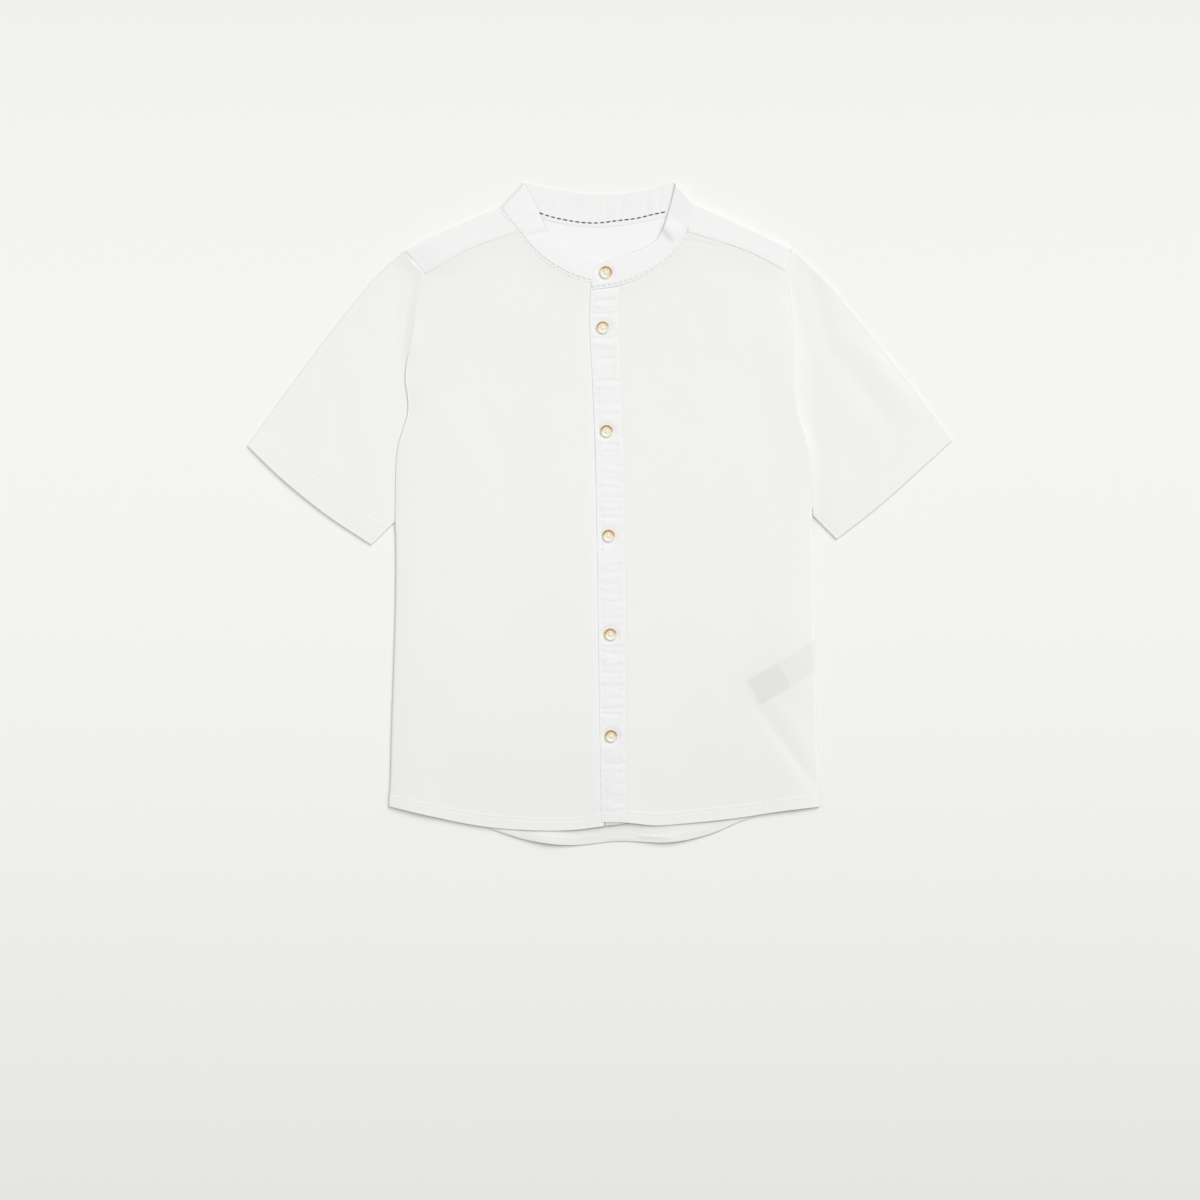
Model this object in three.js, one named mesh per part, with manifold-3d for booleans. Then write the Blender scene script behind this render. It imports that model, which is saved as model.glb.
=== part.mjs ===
// A child's short-sleeved shirt with a band collar, laid flat on its back and buttoned.
// Millimetres, +Z up. +Y runs from the hem to the collar, and +X is the wearer's left.
// The origin is on the surface that the shirt lies on, under the middle of the whole outline.
//
// Every piece of cloth is a wall: two grids of points, one for each face, closed round the rim.
// The fronts lie over the back with a little air between them, given by airUnder(x, y).

import * as THREE from 'three';
import { mergeVertices } from 'three/addons/utils/BufferGeometryUtils.js';
import Module from 'manifold-3d';

const wasm = await Module();
wasm.setup();

// ---- Cloth and seams -------------------------------------------------------------------------

const CLOTH = 1.0; // wall of a single panel
const BAND = 1.6; // wall of the collar band, two plies and interlining
const STRIP = 1.4; // wall of the placket and of the button stand
const TURNED = 0.8; // what a turned hem adds to its panel
const GAP = 0.3; // clearance between one piece and another that lies on it
const SEAM = 0.6; // clearance in plan along a curved seam, where each side has its own facets
const HEM_DEPTH = 10; // turned hem of the back and fronts
const CUFF_DEPTH = 20; // turned hem of a sleeve
const ALLOWANCE = 10; // sleeve seam allowance, pressed towards the body

// ---- How the layers lie ----------------------------------------------------------------------

const AIR = 1.6; // rise of the fronts inside their side seams
const AIR_REACH = 60; // how far in from a side seam the fronts reach that rise
const LAYER_REACH = { near: 15, far: 60 }; // distance from a side over which layers there stop lifting
const NECK_AIR = 1.0; // extra rise round the neck, where the stiff band props the cloth up
const NECK_CENTRE = { x: 0, y: 240 };
const NECK_REACH = { x: 110, y: 70 };
const BAND_STAND = 0.3; // how much higher the band's upper edge is than its seam, in front
const SLEEVE_AIR = 1.2; // rise of the upper layer of a sleeve in its middle

// ---- Outline, as laid ------------------------------------------------------------------------

// Side of the body from the hem corner to the underarm, then the armhole up to the shoulder.
const RIGHT_EDGE = [
  { x: -185.2, y: -258.3 }, // hem corner
  { x: -183.7, y: -196 },
  { x: -180, y: -72 },
  { x: -179.9, y: 10 },
  { x: -177.9, y: 56 }, // underarm
  { x: -168.6, y: 90 },
  { x: -171, y: 122 }, // fold of the sleeve over the seam
  { x: -166, y: 152 },
  { x: -160.5, y: 188 },
  { x: -154.5, y: 210 }, // yoke corner
  { x: -162.9, y: 220 },
  { x: -171.5, y: 230.5 }, // shoulder point
];
const LEFT_EDGE = [
  { x: 193.5, y: -258.5 },
  { x: 191, y: -196 },
  { x: 188.3, y: -82 },
  { x: 186.3, y: 10 },
  { x: 182, y: 56 },
  { x: 171.3, y: 96 },
  { x: 170.2, y: 140 },
  { x: 167.5, y: 180 },
  { x: 163.5, y: 212.5 },
  { x: 165, y: 220 },
  { x: 168.5, y: 232.5 },
];

// Hems, from the wearer's right to the left.
const BACK_HEM = [
  { x: -185.2, y: -257.5 },
  { x: -150, y: -265 },
  { x: -104, y: -276 },
  { x: -62, y: -288.4 },
  { x: -26, y: -292.6 },
  { x: 16, y: -289 },
  { x: 62, y: -290 },
  { x: 96, y: -283 },
  { x: 128, y: -270.2 },
  { x: 160, y: -261.5 },
  { x: 193.5, y: -257.7 },
];
const FRONT_RIGHT_HEM = [
  { x: -185.2, y: -258.3 },
  { x: -150, y: -266.7 },
  { x: -102, y: -276 },
  { x: -58, y: -279.4 },
  { x: -24, y: -279 },
  { x: 2, y: -275.8 },
];
const FRONT_LEFT_HEM = [
  { x: 23.6, y: -272.3 },
  { x: 48, y: -275 },
  { x: 76, y: -273.2 },
  { x: 120, y: -268.6 },
  { x: 160, y: -262.5 },
  { x: 193.5, y: -258.5 },
];

// Lower end of the button stand, a little above the hem beside it.
const STAND_HEM = { rightX: 2, rightY: -275.6, leftX: 23, leftY: -273.4 };

// Shallow waves along the back hem where no front lies on it.
const HEM_WAVES = [
  { x: -44, rise: 1.2, halfWidth: 24 },
  { x: 52, rise: 1.9, halfWidth: 28 },
];
const WAVE_DEPTH = 14; // how far in from the hem a wave reaches

// Front yoke seams, from the armhole to the neck.
const YOKE_SEAM_RIGHT = [
  { x: -154.5, y: 210 },
  { x: -115, y: 233.5 },
  { x: -73.5, y: 247.2 },
];
const YOKE_SEAM_LEFT = [
  { x: 163.5, y: 212.5 },
  { x: 118, y: 235.3 },
  { x: 78.5, y: 247.6 },
];

// Shoulder folds, from the neck to the armhole.
const SHOULDER_RIGHT = [
  { x: -89.5, y: 267.6 },
  { x: -130, y: 249.8 },
  { x: -171.5, y: 230.5 },
];
const SHOULDER_LEFT = [
  { x: 84.5, y: 271.8 },
  { x: 127, y: 252.8 },
  { x: 168.5, y: 232.5 },
];

// Neck seam, from the fold at the wearer's right shoulder round each side.
const NECK_SEAM_BACK = [
  { x: -89.5, y: 267.6 },
  { x: -62, y: 261.5 },
  { x: -34, y: 254.4 },
  { x: -4, y: 251.2 },
  { x: 30, y: 254.6 },
  { x: 60, y: 261.6 },
  { x: 84.5, y: 271.8 },
];
const NECK_SEAM_FRONT_RIGHT = [
  { x: -89.5, y: 267.6 },
  { x: -73.5, y: 247.2 },
  { x: -57, y: 228 },
  { x: -33, y: 211 },
  { x: -8, y: 202 },
  { x: 16, y: 199 },
];
const NECK_SEAM_FRONT_LEFT = [
  { x: 84.5, y: 271.8 },
  { x: 78.5, y: 247.6 },
  { x: 66, y: 227.6 },
  { x: 44, y: 210.8 },
  { x: 18, y: 200 },
  { x: -7.8, y: 195.8 },
];

// Upper edge of the collar band, beside those three.
const BAND_TOP_BACK = [
  { x: -67.8, y: 291.4 },
  { x: -40, y: 285.2 },
  { x: -4, y: 280.6 },
  { x: 36, y: 283.6 },
  { x: 67.1, y: 291.8 },
];
const BAND_TOP_FRONT_RIGHT = [
  { x: -67.8, y: 291.4 },
  { x: -54, y: 265 },
  { x: -46.5, y: 248.5 },
  { x: -26, y: 230.8 },
  { x: -2, y: 222.2 },
  { x: 16, y: 221.5 },
];
const BAND_TOP_FRONT_LEFT = [
  { x: 67.1, y: 291.8 },
  { x: 60.5, y: 266 },
  { x: 50, y: 240.5 },
  { x: 30, y: 229.2 },
  { x: 4, y: 221.4 },
  { x: -7.8, y: 215 },
];

// Placket edges by height.
const PLACKET = [
  { y: -272, right: 0.9, left: 23.3 },
  { y: -190, right: -0.4, left: 22.6 },
  { y: -38, right: -2.6, left: 21.6 },
  { y: 60, right: -4.4, left: 20 },
  { y: 137, right: -7.7, left: 17.4 },
  { y: 171, right: -9.4, left: 16.4 },
  { y: 197.5, right: -8.4, left: 16.6 },
];

// Sleeves: points of the upper edge between the shoulder and the cuff, then the cuff itself.
const SLEEVE_RIGHT_TOP = [
  { x: -197, y: 207.4 },
  { x: -244, y: 149.2 },
];
const SLEEVE_RIGHT_CUFF = [
  { x: -310.4, y: 59 },
  { x: -282.5, y: 32.2 },
  { x: -243.8, y: 0.4 },
  { x: -201.2, y: -28.2 },
];
const SLEEVE_LEFT_TOP = [
  { x: 195.5, y: 207.4 },
  { x: 261, y: 129.5 },
];
const SLEEVE_LEFT_CUFF = [
  { x: 310.4, y: 64.4 },
  { x: 281.4, y: 38 },
  { x: 246, y: 6.6 },
  { x: 208.1, y: -23.4 },
];

// Where each armhole ends at the shoulder, and where the sleeve leaves the side below it.
const ARMHOLE_RIGHT = { shoulderY: 230.5, underarmY: -7.9 };
const ARMHOLE_LEFT = { shoulderY: 232.5, underarmY: -2.4 };

// Seam between the back and the yoke, out of sight.
const BACK_YOKE_SEAM_Y = 168;

// Care label, let into the left side seam.
const LABEL = { width: 25, rootY: -126.5, rootInset: 1.2, endX: 134.6, endY: -158.4 };

// Buttons: one on the band, then down the placket.
const BUTTON = { diameter: 11.2, height: 1.8, dish: 0.6, rim: 1.3 };
const THREAD_HOLES = { count: 4, circle: 3.4, diameter: 1.3 };
const BUTTONS = [
  { name: 'button_band', x: 5.2, y: 211.2 },
  { name: 'button_front_1', x: 2.6, y: 162.8 },
  { name: 'button_front_2', x: 5.9, y: 71.8 },
  { name: 'button_front_3', x: 7.6, y: -20.2 },
  { name: 'button_front_4', x: 9.3, y: -106.9 },
  { name: 'button_front_5', x: 9.9, y: -196.2 },
];

// ---- Curves ----------------------------------------------------------------------------------

const { lerp, smoothstep, mapLinear } = THREE.MathUtils;

function curveThrough(rows) {
  const points = rows.map((row) => new THREE.Vector3(row.x, row.y, 0));
  return new THREE.CatmullRomCurve3(points, false, 'centripetal');
}

// The curve through rows as a function of one coordinate that always grows or always falls.
function curveBy(rows, known, wanted) {
  const samples = curveThrough(rows).getSpacedPoints(160);
  const turn = Math.sign(samples.at(-1)[known] - samples[0][known]);
  return (value) => {
    const next = samples.findIndex((point) => turn * (point[known] - value) > 0);
    if (next === 0) {
      return samples[0][wanted];
    }
    if (next < 0) {
      return samples.at(-1)[wanted];
    }
    const before = samples[next - 1];
    const after = samples[next];
    return mapLinear(value, before[known], after[known], before[wanted], after[wanted]);
  };
}

const rightEdgeX = curveBy(RIGHT_EDGE, 'y', 'x');
const leftEdgeX = curveBy(LEFT_EDGE, 'y', 'x');
const placketRightX = curveBy(PLACKET.map((row) => ({ x: row.right, y: row.y })), 'y', 'x');
const placketLeftX = curveBy(PLACKET.map((row) => ({ x: row.left, y: row.y })), 'y', 'x');
const neckRightY = curveBy(NECK_SEAM_FRONT_RIGHT, 'x', 'y');
const neckLeftY = curveBy(NECK_SEAM_FRONT_LEFT, 'x', 'y');

// How far along a curve it passes a given x, as a fraction of its length.
function shareAtX(curve, x) {
  const steps = 400;
  const distances = curve.getSpacedPoints(steps).map((point) => Math.abs(point.x - x));
  return distances.indexOf(Math.min(...distances)) / steps;
}

// Evenly spaced fractions from 0 to 1.
function fractions(count) {
  return Array.from({ length: count + 1 }, (_, step) => step / count);
}

// ---- Heights ---------------------------------------------------------------------------------

// Underside of the under layer of the front above the surface that the shirt lies on.
function airUnder(x, y) {
  const inset = Math.max(0, Math.min(x - rightEdgeX(y), leftEdgeX(y) - x));
  const rise = AIR * (1 - (1 - Math.min(1, inset / AIR_REACH)) ** 2);
  const besideSide = 1 - smoothstep(inset, LAYER_REACH.near, LAYER_REACH.far);
  const overSleeve = (CLOTH + GAP) * smoothstep(y, -60, -14);
  const overHems = (TURNED + GAP) * (1 - smoothstep(y, -254, -236));
  const besideLabel = 1 - smoothstep(Math.abs(y - LABEL.rootY), 26, 52);
  const overLabel = (CLOTH + GAP) * besideLabel * smoothstep(x, 80, 125);
  const fromNeck = Math.hypot((x - NECK_CENTRE.x) / NECK_REACH.x, (y - NECK_CENTRE.y) / NECK_REACH.y);
  const atNeck = NECK_AIR * (1 - smoothstep(fromNeck, 0.6, 1.9));
  return CLOTH + GAP + rise + (overSleeve + overHems + overLabel) * besideSide + atNeck;
}

// What the over layer adds where it crosses the under layer at the centre front.
function overlapLift(x) {
  return (CLOTH + TURNED + GAP) * (1 - smoothstep(x, 28, 62));
}

// ---- Solids from grids of points -------------------------------------------------------------

// A closed wall between two grids of the same size, round the rim, or round an endless ring.
function wallBetween(outer, inner, ring = false) {
  const rows = outer.length;
  const columns = outer[0].length;
  const positions = [outer, inner].flat(2).flatMap((point) => [point.x, point.y, point.z]);
  const triangles = [];
  const outerAt = (row, column) => row * columns + (column % columns);
  const innerAt = (row, column) => rows * columns + outerAt(row, column);
  const addQuad = (a, b, c, d) => triangles.push(a, b, c, a, c, d);
  const columnSteps = ring ? columns : columns - 1;
  for (let row = 0; row < rows - 1; row += 1) {
    for (let column = 0; column < columnSteps; column += 1) {
      const [r, c] = [row, column];
      addQuad(outerAt(r, c), outerAt(r, c + 1), outerAt(r + 1, c + 1), outerAt(r + 1, c));
      addQuad(innerAt(r, c), innerAt(r + 1, c), innerAt(r + 1, c + 1), innerAt(r, c + 1));
    }
  }
  for (let column = 0; column < columnSteps; column += 1) {
    const last = rows - 1;
    const next = column + 1;
    addQuad(outerAt(0, column), innerAt(0, column), innerAt(0, next), outerAt(0, next));
    addQuad(outerAt(last, column), outerAt(last, next), innerAt(last, next), innerAt(last, column));
  }
  for (let row = 0; row < rows - 1 && !ring; row += 1) {
    const last = columns - 1;
    addQuad(outerAt(row, 0), outerAt(row + 1, 0), innerAt(row + 1, 0), innerAt(row, 0));
    addQuad(outerAt(row, last), innerAt(row, last), innerAt(row + 1, last), outerAt(row + 1, last));
  }
  const geometry = new THREE.BufferGeometry();
  geometry.setAttribute('position', new THREE.Float32BufferAttribute(positions, 3));
  geometry.setIndex(triangles);
  return facingOut(geometry);
}

// Turns every face round if the geometry's volume comes out negative.
function facingOut(geometry) {
  const index = geometry.getIndex().array;
  const position = geometry.getAttribute('position');
  const corner = (number) => new THREE.Vector3().fromBufferAttribute(position, index[number]);
  let volume = 0;
  for (let first = 0; first < index.length; first += 3) {
    volume += corner(first).dot(corner(first + 1).cross(corner(first + 2)));
  }
  if (volume < 0) {
    geometry.setIndex(Array.from(index).reverse());
  }
  geometry.computeVertexNormals();
  return geometry;
}

// A manifold solid of a geometry, for joining and cutting.
function solidOf(geometry) {
  const bare = geometry.clone();
  bare.deleteAttribute('normal');
  bare.deleteAttribute('uv');
  const merged = mergeVertices(bare, 1e-4);
  const index = merged.getIndex().array;
  const kept = [];
  for (let first = 0; first < index.length; first += 3) {
    const [a, b, c] = index.slice(first, first + 3);
    if (a !== b && b !== c && c !== a) {
      kept.push(a, b, c);
    }
  }
  const mesh = new wasm.Mesh({
    numProp: 3,
    vertProperties: new Float32Array(merged.getAttribute('position').array),
    triVerts: new Uint32Array(kept),
  });
  return new wasm.Manifold(mesh);
}

function geometryOf(solid) {
  const mesh = solid.getMesh();
  const geometry = new THREE.BufferGeometry();
  geometry.setAttribute('position', new THREE.Float32BufferAttribute(mesh.vertProperties, 3));
  geometry.setIndex(Array.from(mesh.triVerts));
  geometry.computeVertexNormals();
  return geometry;
}

// Plan positions inside four edges: each edge is a function from a fraction to a point.
function patchPoint({ bottom, top, start, end }, along, up) {
  const across = bottom(along).multiplyScalar(1 - up).add(top(along).multiplyScalar(up));
  const upward = start(up).multiplyScalar(1 - along).add(end(up).multiplyScalar(along));
  const corners = bottom(0).multiplyScalar((1 - along) * (1 - up))
    .add(bottom(1).multiplyScalar(along * (1 - up)))
    .add(top(0).multiplyScalar((1 - along) * up))
    .add(top(1).multiplyScalar(along * up));
  return across.add(upward).sub(corners);
}

// Rows of a panel by fraction of its length, with a narrow step at the top of its turned hem.
function rowsAboveHem(length, count) {
  const hem = HEM_DEPTH / length;
  const step = 0.6 / length;
  return [0, hem, ...fractions(count).map((part) => lerp(hem + step, 1, part))];
}

function at(point, z) {
  return new THREE.Vector3(point.x, point.y, z);
}

// Moves a plan point straight away from the middle of the neck.
function outFromNeck(point, distance) {
  const away = new THREE.Vector3(point.x - NECK_CENTRE.x, point.y - NECK_CENTRE.y, 0).normalize();
  return point.addScaledVector(away, distance);
}

// ---- Back ------------------------------------------------------------------------------------

const backHemY = curveBy(BACK_HEM, 'x', 'y');

// How far the back hem stands off the surface. It comes down to nothing under the front hems.
function hemWave(point) {
  const fade = 1 - smoothstep(point.y - backHemY(point.x), 0, WAVE_DEPTH);
  return fade * HEM_WAVES.reduce((sum, wave) => {
    const reach = Math.min(1, Math.abs(point.x - wave.x) / wave.halfWidth);
    return sum + wave.rise * Math.cos(reach * Math.PI / 2) ** 2;
  }, 0);
}

function backGeometry() {
  const hem = curveThrough(BACK_HEM);
  const low = BACK_HEM[0].y;
  const high = BACK_YOKE_SEAM_Y - GAP;
  const edges = {
    bottom: (part) => hem.getPointAt(part),
    top: (part) => new THREE.Vector3(lerp(rightEdgeX(high), leftEdgeX(high), part), high, 0),
    start: (part) => new THREE.Vector3(rightEdgeX(lerp(low, high, part)), lerp(low, high, part), 0),
    end: (part) => new THREE.Vector3(leftEdgeX(lerp(low, high, part)), lerp(low, high, part), 0),
  };
  const rows = rowsAboveHem(high - low, 16);
  const plan = rows.map((up) => fractions(22).map((along) => patchPoint(edges, along, up)));
  const thickness = (row) => (row < 2 ? CLOTH + TURNED : CLOTH);
  const upper = plan.map((line, row) => line.map((point) => at(point, hemWave(point) + thickness(row))));
  const lower = plan.map((line) => line.map((point) => at(point, hemWave(point))));
  return wallBetween(upper, lower);
}

// ---- Fronts ----------------------------------------------------------------------------------

// A front, from its centre edge to its side. Its top follows the neck seam, then the yoke seam.
function frontGeometry({ hemRows, yokeSeamRows, neckRows, centreX, sideX, lift }) {
  const hem = curveThrough(hemRows);
  const yokeSeam = curveThrough(yokeSeamRows);
  const neckSeam = curveThrough(neckRows);
  const atCentre = shareAtX(neckSeam, centreX(neckRows.at(-1).y));
  const atYoke = shareAtX(neckSeam, yokeSeamRows.at(-1).x);
  const neckShare = 0.42; // share of the columns that end on the neck seam
  const centreTop = neckSeam.getPointAt(atCentre).y - SEAM;
  const centreLow = hemRows[0].y;
  const sideTop = yokeSeamRows[0].y - SEAM;
  const sideLow = hemRows.at(-1).y;
  const edges = {
    bottom: (part) => hem.getPointAt(part),
    top: (part) => {
      if (part <= neckShare) {
        return outFromNeck(neckSeam.getPointAt(lerp(atCentre, atYoke, part / neckShare)), SEAM);
      }
      const onSeam = yokeSeam.getPointAt(1 - (part - neckShare) / (1 - neckShare));
      return outFromNeck(onSeam, SEAM);
    },
    start: (part) => {
      const y = lerp(centreLow, centreTop, part);
      return new THREE.Vector3(centreX(y), y, 0);
    },
    end: (part) => {
      const y = lerp(sideLow, sideTop, part);
      return new THREE.Vector3(sideX(y), y, 0);
    },
  };
  const onNeck = fractions(7).map((part) => part * neckShare);
  const onYoke = fractions(7).slice(1).map((part) => lerp(neckShare, 1, part));
  const rows = rowsAboveHem(sideTop - sideLow, 20);
  const plan = rows.map((up) => [...onNeck, ...onYoke].map((along) => patchPoint(edges, along, up)));
  const underside = (point) => airUnder(point.x, point.y) + lift(point.x);
  const thickness = (row) => (row < 2 ? CLOTH + TURNED : CLOTH);
  const upper = plan.map((line, row) => line.map((point) => at(point, underside(point) + thickness(row))));
  const lower = plan.map((line) => line.map((point) => at(point, underside(point))));
  return wallBetween(upper, lower);
}

const STAND_UNDERLAP = 3; // how far the right front runs in under the placket

function frontRightGeometry() {
  return frontGeometry({
    hemRows: [...FRONT_RIGHT_HEM].reverse(),
    yokeSeamRows: YOKE_SEAM_RIGHT,
    neckRows: NECK_SEAM_FRONT_RIGHT,
    centreX: (y) => placketRightX(y) + STAND_UNDERLAP,
    sideX: rightEdgeX,
    lift: () => 0,
  });
}

function frontLeftGeometry() {
  return frontGeometry({
    hemRows: FRONT_LEFT_HEM,
    yokeSeamRows: YOKE_SEAM_LEFT,
    neckRows: NECK_SEAM_FRONT_LEFT,
    centreX: (y) => placketLeftX(y) + SEAM,
    sideX: leftEdgeX,
    lift: overlapLift,
  });
}

// ---- Placket and button stand ----------------------------------------------------------------

// A strip from hem to neck between two edges given by height.
function stripGeometry({ rightX, leftX, lowY, highY, lift }) {
  const plan = fractions(26).map((up) => fractions(2).map((along) => {
    const middle = lerp(lowY(0), highY(0), up);
    const x = lerp(rightX(middle), leftX(middle), along);
    return new THREE.Vector3(x, lerp(lowY(x), highY(x), up), 0);
  }));
  const underside = (point) => airUnder(point.x, point.y) + lift(point.x);
  const upper = plan.map((line) => line.map((point) => at(point, underside(point) + STRIP)));
  const lower = plan.map((line) => line.map((point) => at(point, underside(point))));
  return wallBetween(upper, lower);
}

function placketGeometry() {
  const low = PLACKET[0].y;
  return stripGeometry({
    rightX: placketRightX,
    leftX: placketLeftX,
    lowY: () => low,
    highY: (x) => neckLeftY(x) - SEAM,
    lift: overlapLift,
  });
}

function buttonStandGeometry() {
  return stripGeometry({
    rightX: (y) => placketRightX(y) + STAND_UNDERLAP + SEAM,
    leftX: (y) => placketLeftX(y) - 1,
    lowY: (x) => mapLinear(x, STAND_HEM.rightX, STAND_HEM.leftX, STAND_HEM.rightY, STAND_HEM.leftY),
    highY: (x) => neckRightY(x) - SEAM,
    lift: () => 0,
  });
}

// ---- Yoke ------------------------------------------------------------------------------------

const YOKE_TUCK = 12; // how far a shoulder's fold runs back under it before the flat back part
const SHOULDER_SPAN = { neck: 0.02, armhole: 0.985 }; // share of the shoulder line it covers

// One shoulder: from the front seam up over the fold and back underneath.
function shoulderGeometry(seamRows, foldRows) {
  const seam = curveThrough(seamRows);
  const fold = curveThrough(foldRows);
  const outer = [];
  const inner = [];
  for (const part of fractions(8).map((share) => lerp(SHOULDER_SPAN.neck, SHOULDER_SPAN.armhole, share))) {
    const onSeam = seam.getPointAt(1 - part);
    const onFold = fold.getPointAt(part);
    const towardsFold = onFold.clone().sub(onSeam).normalize();
    const radius = (airUnder(onFold.x, onFold.y) + CLOTH) / 2;
    const reach = onFold.distanceTo(onSeam) - radius;
    const inPlan = (distance) => onSeam.clone().addScaledVector(towardsFold, distance);
    const outerLine = [];
    const innerLine = [];
    for (const along of fractions(4).slice(0, -1)) {
      const point = inPlan(lerp(GAP, reach, along));
      const underside = lerp(airUnder(point.x, point.y), 2 * radius - CLOTH, along ** 2);
      outerLine.push(at(point, underside + CLOTH));
      innerLine.push(at(point, underside));
    }
    for (const turn of fractions(6)) {
      const angle = Math.PI * (0.5 - turn);
      const around = (size) => at(inPlan(reach + size * Math.cos(angle)), radius + size * Math.sin(angle));
      outerLine.push(around(radius));
      innerLine.push(around(radius - CLOTH));
    }
    outerLine.push(at(inPlan(reach - YOKE_TUCK), 0));
    innerLine.push(at(inPlan(reach - YOKE_TUCK), CLOTH));
    outer.push(outerLine);
    inner.push(innerLine);
  }
  return wallBetween(outer, inner);
}

// The flat part behind the neck and shoulders, short of the folds.
function yokeBackGeometry() {
  const foldInset = 5.5;
  const neck = curveThrough(NECK_SEAM_BACK).getSpacedPoints(18).slice(1, -1);
  const underFold = (rows) => [0.08, 0.5, 0.93].map((part) => {
    const onFold = curveThrough(rows).getPointAt(part);
    return onFold.setY(onFold.y - foldInset);
  });
  const armholeHeights = [BACK_YOKE_SEAM_Y, 188, 200, 210, 218];
  const outline = [
    ...armholeHeights.map((y) => new THREE.Vector3(rightEdgeX(y), y, 0)),
    ...underFold(SHOULDER_RIGHT).reverse(),
    ...neck,
    ...underFold(SHOULDER_LEFT),
    ...armholeHeights.map((y) => new THREE.Vector3(leftEdgeX(y), y, 0)).reverse(),
  ];
  const shape = new THREE.Shape(outline.map((point) => new THREE.Vector2(point.x, point.y)));
  return new THREE.ExtrudeGeometry(shape, { depth: CLOTH, bevelEnabled: false });
}

function yokeGeometry() {
  const shoulders = [
    shoulderGeometry(YOKE_SEAM_RIGHT, SHOULDER_RIGHT),
    shoulderGeometry(YOKE_SEAM_LEFT, SHOULDER_LEFT),
  ];
  const whole = shoulders.reduce((sum, shoulder) => sum.add(solidOf(shoulder)), solidOf(yokeBackGeometry()));
  return geometryOf(whole);
}

// ---- Collar band -----------------------------------------------------------------------------

const FOLD_SETBACK = 4; // how far the flat stretches of the band stop short of a fold

// Plan places of the band's two edges at some fractions of a stretch.
function bandEdges(seamRows, topRows, parts) {
  const seam = curveThrough(seamRows);
  const top = curveThrough(topRows);
  return parts.map((part) => ({ seam: seam.getPointAt(part), top: top.getPointAt(part) }));
}

// A front stretch as sections from its fold to its free end.
function bandFront(seamRows, topRows, lift) {
  const first = FOLD_SETBACK / curveThrough(seamRows).getLength();
  const parts = fractions(12).map((part) => lerp(first, 1, part));
  return bandEdges(seamRows, topRows, parts).map(({ seam, top }) => ({
    seam,
    top,
    angle: Math.PI / 2,
    outward: new THREE.Vector3(),
    underside: (share) => airUnder(seam.x, seam.y) + lift(seam.x) + BAND_STAND * share,
  }));
}

// The back stretch, flat on the surface with its inside up, from the wearer's right to the left.
function bandBack() {
  const first = FOLD_SETBACK / curveThrough(NECK_SEAM_BACK).getLength();
  const parts = fractions(12).map((part) => lerp(first, 1 - first, part));
  return bandEdges(NECK_SEAM_BACK, BAND_TOP_BACK, parts).map(({ seam, top }) => ({
    seam,
    top,
    angle: -Math.PI / 2,
    outward: new THREE.Vector3(),
    underside: () => BAND,
  }));
}

// The turn from the end of a front stretch down to the end of the back stretch.
function bandFold(front, back) {
  const side = Math.sign(front.seam.x);
  const across = front.top.clone().sub(front.seam).normalize();
  const outward = new THREE.Vector3(across.y, -across.x, 0).multiplyScalar(side);
  return fractions(6).slice(1, -1).map((turn) => ({
    seam: front.seam.clone().lerp(back.seam, turn),
    top: front.top.clone().lerp(back.top, turn),
    angle: Math.PI * (0.5 - turn),
    outward,
    underside: front.underside,
  }));
}

function collarBandGeometry() {
  const left = bandFront(NECK_SEAM_FRONT_LEFT, BAND_TOP_FRONT_LEFT, overlapLift);
  const right = bandFront(NECK_SEAM_FRONT_RIGHT, BAND_TOP_FRONT_RIGHT, () => 0);
  const back = bandBack();
  const sections = [
    ...[...left].reverse(),
    ...bandFold(left[0], back.at(-1)),
    ...[...back].reverse(),
    ...bandFold(right[0], back[0]).reverse(),
    ...right,
  ];
  const pointOn = ({ seam, top, angle, outward, underside }, share, depth) => {
    const radius = (underside(share) + BAND) / 2;
    const size = radius - depth;
    const clear = lerp(GAP / seam.distanceTo(top), 1, share);
    const place = seam.clone().lerp(top, clear).addScaledVector(outward, size * Math.cos(angle));
    return at(place, radius + size * Math.sin(angle));
  };
  const lineOn = (section, depth) => fractions(2).map((share) => pointOn(section, share, depth));
  const face = (depth) => sections.map((section) => lineOn(section, depth));
  return wallBetween(face(0), face(BAND));
}

// ---- Sleeves ---------------------------------------------------------------------------------

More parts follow.
